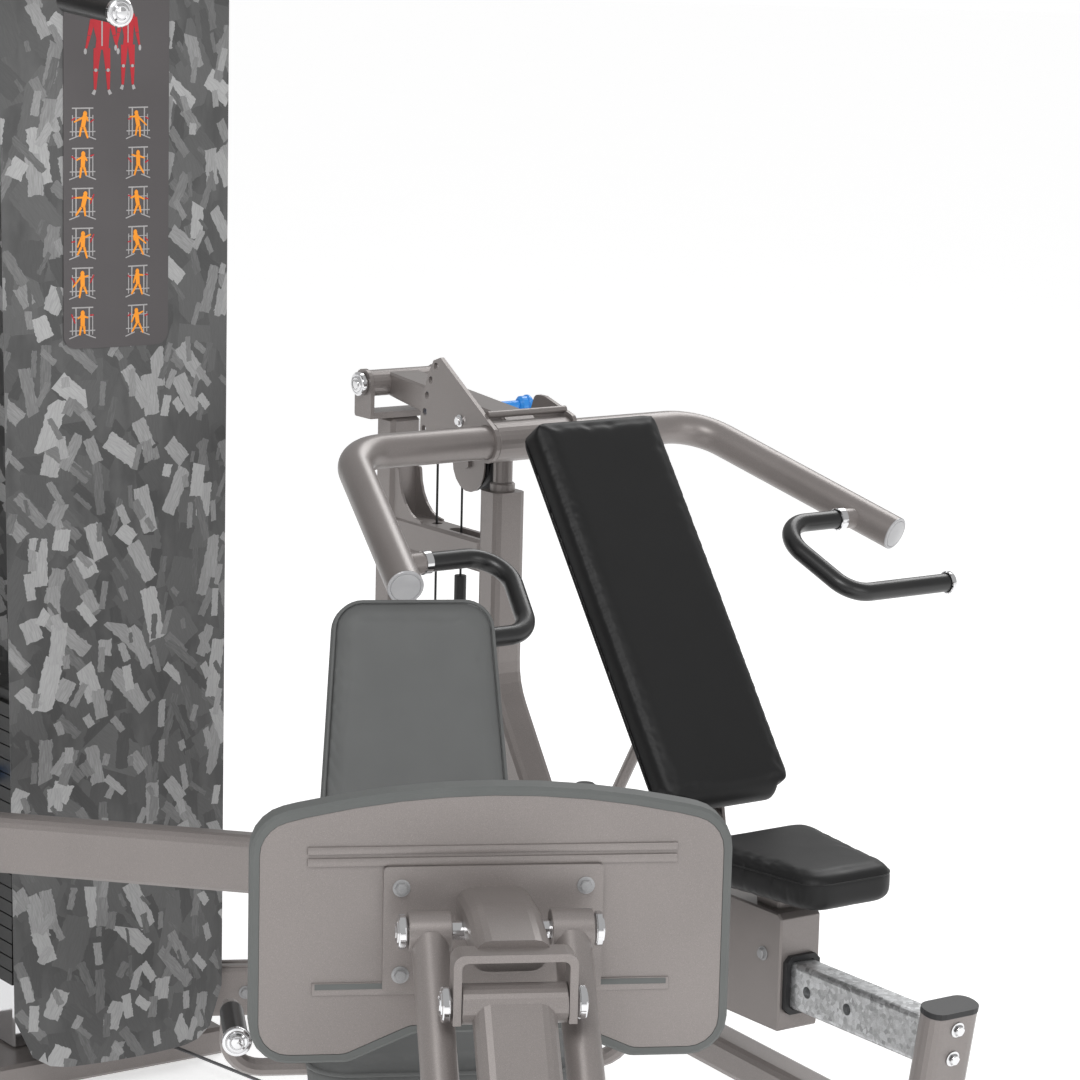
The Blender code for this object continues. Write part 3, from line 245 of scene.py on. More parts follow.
def shroud_finish():
    """A pressed wood-chip pattern printed in greys under a satin lacquer."""
    n = Nodes("chip_print")
    split = n.add("ShaderNodeSeparateXYZ", {0: n.coords})
    plane = n.add("ShaderNodeCombineXYZ", {0: split.outputs[0], 1: split.outputs[2]}).outputs[0]
    ground = n.noise(30.0, 4.0, n.vector("MULTIPLY", plane, (1.0, 0.35, 1.0)))
    color = n.ramp(ground, [(0.35, 0.050), (0.65, 0.085)])
    dark = [(0.25, 0.045), (0.60, 0.074), (0.90, 0.110)]
    light = [(0.30, 0.080), (0.52, 0.170), (0.85, 0.400)]
    for cell, shift, size, tones in (
        (0.115, (3.1, 7.7, 0), (0.30, 0.45), dark), (0.100, (11.3, 1.9, 0), (0.26, 0.45), dark),
        (0.105, (21.7, 9.2, 0), (0.20, 0.42), dark), (0.098, (5.2, 15.4, 0), (0.13, 0.34), light),
        (0.110, (17.9, 27.3, 0), (0.11, 0.32), light), (0.088, (31.4, 19.8, 0), (0.12, 0.30), light),
        (0.058, (41.0, 33.3, 0), (0.11, 0.28), light),
    ):
        color = flake_layer(n, plane, cell, shift, size, color, tones)
    normal = n.bump(color, 0.05, 0.001)
    return n.finish(color=color, rough=0.42, normal=normal, coat=0.15, coat_rough=0.3)


def stack_finish():
    n = Nodes("stack_black")
    cast = n.noise(160.0, 5.0, roughness=0.6)
    color = n.ramp(cast, [(0.3, 0.012), (0.7, 0.026)])
    return n.finish(color=color, rough=n.math("ADD", n.math("MULTIPLY", cast, 0.2), 0.35), normal=n.bump(cast, 0.25, 0.0008), metal=0.2)


PAINT_TONE = (0.235, 0.212, 0.203)
FINISH = {
    "frame_paint": paint_finish("metallic_paint", PAINT_TONE),
    "chrome": chrome_finish(),
    "galvanised": zinc_finish(),
    "black_upholstery": vinyl_finish("black_vinyl", (0.0095, 0.0095, 0.0098), 0.42),
    "grey_upholstery": vinyl_finish("grey_vinyl", (0.112, 0.115, 0.114), 0.50),
    "edge_rubber": rubber_finish("mat_rubber", (0.105, 0.111, 0.108)),
    "grip_rubber": rubber_finish("grip_foam", (0.008, 0.008, 0.0083), 0.30, 0.15),
    "stack_plates": stack_finish(),
    "shroud_panel": shroud_finish(),
    "blue_knob": plastic_finish("blue_plastic", (0.030, 0.300, 0.850)),
    "black_plastic": plastic_finish("black_plastic_gloss", (0.012, 0.012, 0.013), 0.45, 0.0),
    "cable_cover": cable_finish(),
}
LIGHT_PAINT = paint_finish("light_bar_paint", (0.44, 0.43, 0.42))
PLACARD = plastic_finish("placard_film", (0.077, 0.070, 0.072), 0.5, 0.0)
RED = plastic_finish("print_red", (0.43, 0.010, 0.020), 0.5, 0.0)
SKIN = plastic_finish("print_grey", (0.36, 0.35, 0.35), 0.5, 0.0)
ORANGE = plastic_finish("print_orange", (0.85, 0.29, 0.010), 0.5, 0.0)
STEEL = paint_finish("zinc_bolt", (0.30, 0.30, 0.305))
ARM_END = plastic_finish("arm_end_disc", (0.42, 0.42, 0.43), 0.25, 0.3)


# ---------------------------------------------------------------- mesh helpers

def object_of(bm, name, finish, place=None, smooth=38):
    """A mesh object whose vertices are in the row frame."""
    bmesh.ops.recalc_face_normals(bm, faces=bm.faces)
    if place is not None:
        bm.transform(place)
    mesh = bpy.data.meshes.new(name)
    bm.to_mesh(mesh)
    bm.free()
    mesh.shade_smooth()
    mesh.set_sharp_from_angle(angle=math.radians(smooth))
    made = bpy.data.objects.new(name, mesh)
    bpy.context.scene.collection.objects.link(made)
    mesh.materials.append(finish)
    return made


def given(obj, body):
    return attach(obj, body)


def frame_along(origin, axis):
    """A matrix whose Z is the axis and whose origin is the point."""
    return Matrix.Translation(origin) @ Vector(axis).to_track_quat("Z", "Y").to_matrix().to_4x4()


def lathe(bm, profile, where, sides=48):
    """Turns (radius, height) pairs round local Z and adds them to bm."""
    rings = []
    for radius, height in profile:
        if radius < 1e-6:
            rings.append([bm.verts.new(where @ Vector((0, 0, height)))])
            continue
        turn = [math.tau * i / sides for i in range(sides)]
        rings.append([bm.verts.new(where @ Vector((radius * math.cos(a), radius * math.sin(a), height))) for a in turn])
    for low, high in zip(rings, rings[1:]):
        for i in range(sides):
            j = (i + 1) % sides
            corners = [low[i % len(low)], low[j % len(low)], high[j % len(high)], high[i % len(high)]]
            unique = list(dict.fromkeys(corners))
            if len(unique) > 2:
                bm.faces.new(unique)


def prism(bm, outline, thickness, where):
    """Extrudes a closed outline in local XY from 0 to the thickness along local Z."""
    low = [bm.verts.new(where @ Vector((x, y, 0))) for x, y in outline]
    high = [bm.verts.new(where @ Vector((x, y, thickness))) for x, y in outline]
    bm.faces.new(low[::-1])
    bm.faces.new(high)
    for i in range(len(outline)):
        j = (i + 1) % len(outline)
        bm.faces.new((low[i], low[j], high[j], high[i]))


def box_into(bm, size, centre, where=Matrix.Identity(4), bevel=0.0):
    made = bmesh.ops.create_cube(bm, size=1.0)["verts"]
    for v in made:
        v.co = Vector((v.co.x * size[0], v.co.y * size[1], v.co.z * size[2]))
    if bevel:
        edges = list({e for v in made for e in v.link_edges})
        made = bmesh.ops.bevel(bm, geom=edges, offset=bevel, segments=2, affect="EDGES", profile=0.5)["verts"]
    shift = where @ Matrix.Translation(centre)
    for v in set(made):
        v.co = shift @ v.co


def tube_into(bm, points, radius, closed=False, sides=12):
    """Sweeps a circle along a line of points."""
    points = [Vector(p) for p in points]
    count = len(points)
    rings = []
    side_way = None
    for i, p in enumerate(points):
        before = points[i - 1] if closed or i else points[i]
        after = points[(i + 1) % count] if closed or i < count - 1 else points[i]
        along = (after - before).normalized()
        if side_way is None:
            side_way = along.orthogonal().normalized()
        side_way = (side_way - along * side_way.dot(along)).normalized()
        up = along.cross(side_way)
        rings.append([bm.verts.new(p + (side_way * math.cos(a) + up * math.sin(a)) * radius) for a in [math.tau * k / sides for k in range(sides)]])
    pairs = list(zip(rings, rings[1:])) + ([(rings[-1], rings[0])] if closed else [])
    for low, high in pairs:
        offset = 0
        if closed and high is rings[0]:
            offset = min(range(sides), key=lambda s: (low[0].co - high[s].co).length)
        for k in range(sides):
            bm.faces.new((low[k], low[(k + 1) % sides], high[(k + 1 + offset) % sides], high[(k + offset) % sides]))
    if not closed:
        bm.faces.new(rings[0][::-1])
        bm.faces.new(rings[-1])


def arc_outline(corners, radii, steps=6):
    """A closed outline with rounded corners, as (x, y) pairs."""
    made = []
    for i, ((x, y), radius) in enumerate(zip(corners, radii)):
        here, before, after = Vector((x, y)), Vector(corners[i - 1]), Vector(corners[(i + 1) % len(corners)])
        back, ahead = (before - here).normalized(), (after - here).normalized()
        turn = math.pi - back.angle(ahead)
        reach = radius * math.tan(turn / 2)
        centre = here + (back + ahead).normalized() * (radius / math.cos(turn / 2))
        u, w = here + back * reach - centre, here + ahead * reach - centre
        for k in range(steps + 1):
            share = k / steps
            p = centre + (u * math.sin((1 - share) * turn) + w * math.sin(share * turn)) / math.sin(turn)
            made.append((p.x, p.y))
    return made


def rounded_line(points, radii, per_turn=64):
    """The points of a line in space whose inner corners are arcs."""
    points = [Vector(p) for p in points]
    path = [points[0]]
    for before, corner, after, radius in zip(points, points[1:], points[2:], radii):
        back, ahead = (before - corner).normalized(), (after - corner).normalized()
        turn = math.pi - back.angle(ahead)
        reach = radius * math.tan(turn / 2)
        centre = corner + (back + ahead).normalized() * (radius / math.cos(turn / 2))
        u, w = corner + back * reach - centre, corner + ahead * reach - centre
        steps = max(2, math.ceil(per_turn * turn / math.tau))
        for i in range(steps + 1):
            share = i / steps
            path.append(centre + (u * math.sin((1 - share) * turn) + w * math.sin(share * turn)) / math.sin(turn))
    path.append(points[-1])
    return path


def hex_bolt(bm, where, across=0.009, height=0.006):
    """A flanged hex head with its rim chamfered."""
    lathe(bm, [(0.0, 0.0), (across * 1.35, 0.0), (across * 1.35, 0.0010), (across * 1.2, 0.0016), (0.0, 0.0016)], where, 28)
    corner = [(across * math.cos(math.tau * i / 6), across * math.sin(math.tau * i / 6)) for i in range(6)]
    prism(bm, corner, height * 0.82, where @ Matrix.Translation((0, 0, 0.0012)))
    lathe(bm, [(0.0, height * 0.80), (across * 0.86, height * 0.80), (across * 0.78, height * 1.0), (0.0, height * 1.05)], where @ Matrix.Translation((0, 0, 0.0012)), 24)


def ringed_cap(bm, where, radius):
    """A domed cap with a rim and two turned rings."""
    r = radius
    profile = [(r * 0.9, -0.004), (r, -0.003), (r, 0.0035), (r * 0.94, 0.0052), (r * 0.80, 0.0056), (r * 0.76, 0.0046), (r * 0.70, 0.0046)]
    profile += [(r * 0.66, 0.0068), (r * 0.52, 0.0080), (r * 0.48, 0.0070), (r * 0.42, 0.0070), (r * 0.38, 0.0086), (r * 0.20, 0.0094), (0.0, 0.0096)]
    lathe(bm, profile, where, 40)


def bolts(name, places, body, place, finish=STEEL, across=0.009, height=0.006):
    bm = bmesh.new()
    for point, axis in places:
        hex_bolt(bm, frame_along(point, axis), across, height)
    return given(object_of(bm, name, finish, place), body)


# ---------------------------------------------------------------- CAD pieces

def dress_cad():
    slots = {s["node"]: s["material_slot"] for s in frame["record"]["subparts"]}
    for name, obj in NODES.items():
        obj.data.materials.clear()
        obj.data.materials.append(FINISH[slots[name]])
        obj.data.shade_smooth()
        obj.data.set_sharp_from_angle(angle=math.radians(36))
        if slots[name] in ("frame_paint", "galvanised", "black_plastic"):
            soft = obj.modifiers.new("soft_edges", "BEVEL")
            soft.width = 0.0012
            soft.segments = 2
            soft.limit_method = "ANGLE"
            soft.angle_limit = math.radians(40)
            soft.use_clamp_overlap = True


# ---------------------------------------------------------------- upholstery

def settled(mesh, modifiers):
    """The mesh with these modifiers applied."""
    obj = bpy.data.objects.new("work", mesh)
    bpy.context.scene.collection.objects.link(obj)
    for kind, settings in modifiers:
        change = obj.modifiers.new(kind, kind)
        for key, value in settings.items():
            setattr(change, key, value)
    graph = bpy.context.evaluated_depsgraph_get()
    made = bpy.data.meshes.new_from_object(obj.evaluated_get(graph))
    bpy.data.objects.remove(obj)
    return made


def inflated(mesh, pressure, most):
    """Lets the cover swell over its filling, and holds every point within a short way of where it began."""
    obj = bpy.data.objects.new("cover", mesh)
    bpy.context.scene.collection.objects.link(obj)
    cloth = obj.modifiers.new("cover", "CLOTH")
    cloth.settings.quality = 5
    cloth.settings.mass = 0.3
    cloth.settings.tension_stiffness = cloth.settings.compression_stiffness = 30
    cloth.settings.bending_stiffness = 4
    cloth.settings.use_pressure = True
    cloth.settings.uniform_pressure_force = pressure
    cloth.settings.effector_weights.gravity = 0.0
    cloth.collision_settings.use_collision = False
    scene = bpy.context.scene
    for step in range(1, 21):
        scene.frame_set(step)
    graph = bpy.context.evaluated_depsgraph_get()
    moved = obj.evaluated_get(graph).data
    for v, w in zip(mesh.vertices, moved.vertices):
        way = w.co - v.co
        inward = way.dot(v.normal)
        if inward < -0.0003:
            way -= v.normal * (inward + 0.0003)
        if way.length > most:
            way = way.normalized() * most
        v.co += way
    scene.frame_set(1)
    bpy.data.objects.remove(obj)
    return mesh


def corner_rounder(half_low, half_high, length, radius):
    """Returns a function that pulls a point in the pad's own plane inside rounded corners."""
    def rounder(p):
        share = min(max(p.y / length, 0.0), 1.0)
        half = half_low + (half_high - half_low) * share
        cx = half - radius
        cy = radius if p.y < length / 2 else length - radius
        dx, dy = abs(p.x) - cx, (cy - p.y if p.y < length / 2 else p.y - cy)
        if dx > 0 and dy > 0 and math.hypot(dx, dy) > radius:
            k = radius / math.hypot(dx, dy)
            p = Vector((math.copysign(cx + dx * k, p.x), cy + (-dy if p.y < length / 2 else dy) * k, p.z))
        return p
    return rounder


def cushion(name, node, body, slot_name, plane, rounder=None, puff=4.0):
    """A foam pad in its sewn cover, a little smaller than its stand-in solid before it swells."""
    source = NODES[node].data.copy()
    voxel = 0.0055
    mesh = settled(source, [("DISPLACE", {"strength": -0.0022, "mid_level": 0.0}), ("REMESH", {"mode": "VOXEL", "voxel_size": voxel})])
    if rounder:
        back = plane.inverted()
        for v in mesh.vertices:
            v.co = plane @ rounder(back @ v.co)
    inflated(mesh, puff, 0.006)
    mesh = settled(mesh, [("SMOOTH", {"factor": 0.5, "iterations": 5}), ("SUBSURF", {"levels": 1, "render_levels": 1})])
    mesh.shade_smooth()
    mesh.materials.clear()
    mesh.materials.append(FINISH[slot_name])
    made = bpy.data.objects.new(name, mesh)
    bpy.context.scene.collection.objects.link(made)
    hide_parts(node)
    return given(made, body)


def piping(name, outline, height, radius, plane, slot_name, body):
    """A sewn welt that follows a pad's outline at one height."""
    bm = bmesh.new()
    tube_into(bm, [Vector((x, y, height)) for x, y in outline], radius, closed=True, sides=8)
    return given(object_of(bm, name, FINISH[slot_name], plane), body)


def plane_from(origin, along, across):
    """Local X across, local Y along, local Z out of the pad's face."""
    x, y = Vector(across).normalized(), Vector(along).normalized()
    z = x.cross(y)
    return Matrix((
        (x.x, y.x, z.x, origin[0]), (x.y, y.y, z.y, origin[1]), (x.z, y.z, z.z, origin[2]), (0, 0, 0, 1),
    ))


def upholstery():
    top, foot = Vector((0.285, 1.155)), Vector((0.712, 0.572))
    length = (top - foot).length
    up = (top - foot).normalized()
    face = PRESS @ plane_from(at(0, *foot), at(0, *up), (1, 0, 0))
    cushion("bench_back_cover", "back_pad", "back", "black_upholstery", face, corner_rounder(0.135, 0.135, length, 0.036))
    outline = arc_outline([(-0.1335, 0.002), (0.1335, 0.002), (0.1335, length - 0.002), (-0.1335, length - 0.002)], [0.036] * 4, 8)
    piping("bench_back_welt", outline, -0.0460, 0.0020, face, "black_upholstery", "back")
    rest = PRESS @ plane_from(at(0, 1.045, 0.509), (0, 1, 0), (1, 0, 0))
    cushion("bench_seat_cover", "seat_pad", "carriage", "black_upholstery", rest)
    outline = arc_outline([(-0.0872, 0.0030), (0.0872, 0.0030), (0.1368, 0.3035), (-0.1368, 0.3035)], [0.045, 0.045, 0.035, 0.035], 8)
    piping("bench_seat_welt", outline, -0.0150, 0.0014, rest, "black_upholstery", "carriage")
    low, high = Vector((0.872, 0.475)), Vector((1.014, 0.968))
    slope = (high - low).normalized()
    back = LEG @ plane_from(Vector((0, low.x, low.y)), (0, slope.x, slope.y), (1, 0, 0))
    cushion("leg_back_cover", "leg_back_pad", "frame", "grey_upholstery", back)
    reach = (high - low).length
    outline = arc_outline([(-0.1585, 0.0015), (0.1585, 0.0015), (0.1205, reach - 0.0015), (-0.1205, reach - 0.0015)], [0.05, 0.05, 0.045, 0.045], 8)
    piping("leg_back_welt_front", outline, 0.0165, 0.0030, back, "grey_upholstery", "frame")
    piping("leg_back_welt_rear", outline, -0.0165, 0.0030, back, "grey_upholstery", "frame")
    seat = LEG @ plane_from(Vector((0, 0.40, 0.3860)), (0, 1, 0), (1, 0, 0))
    cushion("leg_seat_cover", "leg_seat_pad", "frame", "grey_upholstery", seat)
    outline = arc_outline([(-0.2035, 0.0015), (0.2035, 0.0015), (0.1835, 0.4285), (-0.1835, 0.4285)], [0.06, 0.06, 0.05, 0.05], 8)
    piping("leg_seat_welt", outline, 0.0220, 0.0030, seat, "grey_upholstery", "frame")


# ---------------------------------------------------------------- placard

SHROUD_X, SHROUD_HALF, SHROUD_BULGE = 0.361, 0.215, 0.035


def shroud_face(x, lift=0.0):
    """The y of the right front shroud's face at a distance x from the tower's centre."""
    share = (x - SHROUD_X) / SHROUD_HALF
    return -SHROUD_BULGE * (1 - share * share) - lift


def on_shroud(bm, outline, lift, thickness):
    """A thin printed shape laid on the shroud's bow, cut into narrow strips so that it bends."""
    flat = bmesh.new()
    face = flat.faces.new([flat.verts.new((x, 0, z)) for x, z in outline])
    bmesh.ops.triangulate(flat, faces=[face])
    left, right = min(x for x, _ in outline), max(x for x, _ in outline)
    steps = max(1, int((right - left) / 0.012))
    for i in range(1, steps):
        cut_x = left + (right - left) * i / steps
        bmesh.ops.bisect_plane(flat, geom=flat.verts[:] + flat.edges[:] + flat.faces[:], plane_co=(cut_x, 0, 0), plane_no=(1, 0, 0))
    bmesh.ops.solidify(flat, geom=flat.faces[:], thickness=thickness)
    ys = [v.co.y for v in flat.verts]
    middle = (min(ys) + max(ys)) / 2
    for v in flat.verts:
        v.co.y = shroud_face(v.co.x, lift) + (thickness if v.co.y > middle else 0.0)
    mesh = bpy.data.meshes.new("strip")
    flat.to_mesh(mesh)
    flat.free()
    bm.from_mesh(mesh)
    bpy.data.meshes.remove(mesh)


def limb(bm, a, b, wide_a, wide_b, lift):
    """A tapering limb of a printed figure."""
    a, b = Vector(a), Vector(b)
    n = Vector((-(b - a).y, (b - a).x)).normalized()
    on_shroud(bm, [tuple(a + n * wide_a), tuple(a - n * wide_a), tuple(b - n * wide_b), tuple(b + n * wide_b)], lift, 0.0002)


def disc(x, z, rx, rz, steps=14):
    return [(x + rx * math.cos(math.tau * i / steps), z + rz * math.sin(math.tau * i / steps)) for i in range(steps)]


def muscle_figure(red, grey, x, foot, tall, turned):
    """A plain anatomical figure: red body, grey head, hands, feet and joints."""
    u = tall / 8
    w = 0.8 if turned else 1.0
    for s in (-1, 1):
        limb(red, (x + s * 0.42 * u * w, foot + 3.9 * u), (x + s * 0.55 * u * w, foot + 2.15 * u), 0.34 * u, 0.22 * u, 0.0016)
        limb(red, (x + s * 0.56 * u * w, foot + 2.0 * u), (x + s * 0.62 * u * w, foot + 0.45 * u), 0.22 * u, 0.11 * u, 0.0016)
        limb(grey, (x + s * 0.62 * u * w, foot + 0.42 * u), (x + s * 0.80 * u * w, foot + 0.05 * u), 0.12 * u, 0.16 * u, 0.0016)
        limb(red, (x + s * 0.85 * u * w, foot + 6.3 * u), (x + s * 1.15 * u * w, foot + 5.0 * u), 0.22 * u, 0.17 * u, 0.0016)
        limb(red, (x + s * 1.16 * u * w, foot + 4.95 * u), (x + s * 1.42 * u * w, foot + 3.9 * u), 0.16 * u, 0.09 * u, 0.0016)
        on_shroud(grey, disc(x + s * 1.5 * u * w, foot + 3.65 * u, 0.14 * u, 0.26 * u, 10), 0.0016, 0.0002)
        on_shroud(grey, disc(x + s * 0.56 * u * w, foot + 2.08 * u, 0.15 * u, 0.15 * u, 10), 0.0019, 0.0002)
    torso = [(-0.60, 3.8), (0.60, 3.8), (0.50, 4.7), (0.92, 6.2), (0.80, 6.6), (0.28, 6.75), (-0.28, 6.75), (-0.80, 6.6), (-0.92, 6.2), (-0.50, 4.7)]
    on_shroud(red, [(x + a * u * w, foot + b * u) for a, b in torso], 0.0016, 0.0002)
    on_shroud(grey, [(x + a * u * w, foot + b * u) for a, b in ((-0.06, 4.1), (0.06, 4.1), (0.06, 6.4), (-0.06, 6.4))], 0.0019, 0.0002)
    on_shroud(grey, disc(x, foot + 7.35 * u, 0.36 * u * w, 0.52 * u), 0.0016, 0.0002)


def exercise_icon(grey, orange, red, x, z, seed):
    """A small machine outline with a figure in it and two marks for what moves."""
    pick = random.Random(seed)
    w, h = 0.0185, 0.0285
    for s in (-1, 1):
        limb(grey, (x + s * w * 0.62, z - h * 0.8), (x + s * w * 0.62, z + h * 0.85), 0.0011, 0.0011, 0.0016)
        limb(grey, (x + s * w * 0.95, z - h * 0.75), (x + s * w * 0.95, z + h * 0.45), 0.0008, 0.0008, 0.0016)
        limb(grey, (x + s * w * 1.25, z - h * 0.95), (x + s * w * 0.3, z - h * 0.72), 0.0009, 0.0009, 0.0016)
    limb(grey, (x - w, z + h * 0.84), (x + w, z + h * 0.84), 0.0011, 0.0011, 0.0016)
    limb(grey, (x - w * 1.2, z - h * 0.50), (x + w * 1.2, z - h * 0.50), 0.0009, 0.0009, 0.0016)
    limb(grey, (x - w * 0.9, z + h * 0.30), (x + w * 0.9, z + h * 0.30), 0.0007, 0.0007, 0.0016)
    lean = pick.uniform(-0.3, 0.3) * w
    on_shroud(orange, disc(x + lean, z + h * 0.52, 0.0036, 0.0047, 10), 0.0019, 0.0002)
    limb(orange, (x + lean, z + h * 0.42), (x, z - h * 0.25), 0.0040, 0.0036, 0.0019)
    for s in (-1, 1):
        reach = pick.uniform(0.3, 1.0)
        rise = pick.uniform(-0.4, 0.7)
        limb(orange, (x + lean + s * 0.003, z + h * 0.32), (x + s * w * reach, z + h * rise * 0.7), 0.0017, 0.0012, 0.0019)
        limb(orange, (x + s * 0.0025, z - h * 0.25), (x + s * w * pick.uniform(0.15, 0.7), z - h * pick.uniform(0.65, 0.9)), 0.0022, 0.0014, 0.0019)
        limb(red, (x + s * w * 1.05, z + h * pick.uniform(-0.1, 0.5)), (x + s * w * 0.7, z + h * pick.uniform(-0.1, 0.4)), 0.0011, 0.0011, 0.0020)


def placard():
    left, right, low, high = 0.252, 0.445, 1.300, 2.030
    film = bmesh.new()
    corners = [(left, low), (right, low), (right, high), (left, high)]
    on_shroud(film, arc_outline(corners, [0.022, 0.022, 0.004, 0.004], 6), 0.0012, 0.0010)
    given(object_of(film, "placard_film", PLACARD, TOWER, 60), "frame")
    red, grey, orange = bmesh.new(), bmesh.new(), bmesh.new()
    muscle_figure(red, grey, 0.318, 1.716, 0.155, False)
    muscle_figure(red, grey, 0.365, 1.724, 0.150, True)
    for row in range(6):
        for column in range(2):
            exercise_icon(grey, orange, red, 0.2845 + 0.1005 * column, 1.671 - 0.0654 * row, 10 * row + column)
    for name, bm, finish in (("placard_red_print", red, RED), ("placard_grey_print", grey, SKIN), ("placard_orange_print", orange, ORANGE)):
        given(object_of(bm, name, finish, TOWER, 60), "frame")


# ---------------------------------------------------------------- press station fittings

def fine_arms():
    """The round arms, their ear and tie rod, and the two bent grips, with finely turned tubes."""
    y, z = CROSS
    bend, end = Vector((0.380, -y, z)), at(0.524, 0.490, 0.932)
    flip = Vector((-1, 1, 1))
    bm = bmesh.new()
    tube_into(bm, rounded_line([end * flip, bend * flip, bend, end], [0.095, 0.095], 96), 0.0308, sides=40)
    ear = [(-0.115, 0.026), (-0.100, 0.064), (-0.068, 0.064), (0.022, 0.040), (0.040, -0.020), (-0.016, -0.040)]
    outline = arc_outline([(y + a, z + b) for a, b in ear], [0.012, 0.016, 0.016, 0.012, 0.012, 0.012], 8)
    prism(bm, [(-f, up) for f, up in outline], 0.0078, Matrix.Translation((0.0836, 0, 0)) @ Matrix(((0, 0, 1, 0), (1, 0, 0, 0), (0, 1, 0, 0), (0, 0, 0, 1))))
    tube_into(bm, [at(-0.083, y - 0.0075, z + 0.0485), at(0.0875, y - 0.0075, z + 0.0485)], 0.0065, sides=24)
    arms = object_of(bm, "arms_fine", FINISH["frame_paint"], PRESS)
    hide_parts("press_arms")
    given(arms, "arms")
    root = end - (end - bend).normalized() * 0.070
    inner = root - Vector((0.215, 0, 0))
    turn = inner + at(0.057, 0.165, -0.099)
    line = rounded_line([root - Vector((0.041, 0, 0)), inner, turn, turn + Vector((0.222, 0, 0))], [0.060, 0.055], 96)
    for sign, name in ((1, "right"), (-1, "left")):
        grip = bmesh.new()
        tube_into(grip, line, 0.0166, sides=36)
        grip.transform(Matrix.Scale(sign, 4, (1, 0, 0)))
        made = object_of(grip, f"grip_fine_{name}", FINISH["grip_rubber"], PRESS)
        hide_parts(f"grip_{name}")
        given(made, "arms")


def fine_links():
    """The two outer links of the leg press, round tubes between finely turned eyes."""
    low = at(0, UPPER_AXLE[0] + 0.5, UPPER_AXLE[1] - 0.5)
    high = at(0, *UPPER_AXLE)
    for sign, name in ((1, "right"), (-1, "left")):
        bm = bmesh.new()
        middle = Vector((sign * 0.09135, 0, 0))
        along = (high - low).normalized()
        tube_into(bm, [low + middle + along * 0.014, high + middle - along * 0.014], 0.0240, sides=40)
        for p in (low, high):
            lathe(bm, [(0.0130, -0.0273), (0.0250, -0.0273), (0.0260, -0.0263), (0.0260, 0.0263), (0.0250, 0.0273), (0.0130, 0.0273), (0.0130, -0.0273)],
                  frame_along(p + middle, (1, 0, 0)), 44)
        made = object_of(bm, f"outer_link_fine_{name}", FINISH["frame_paint"], LEG)
        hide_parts(f"outer_link_{name}")
        given(made, "outer_links")


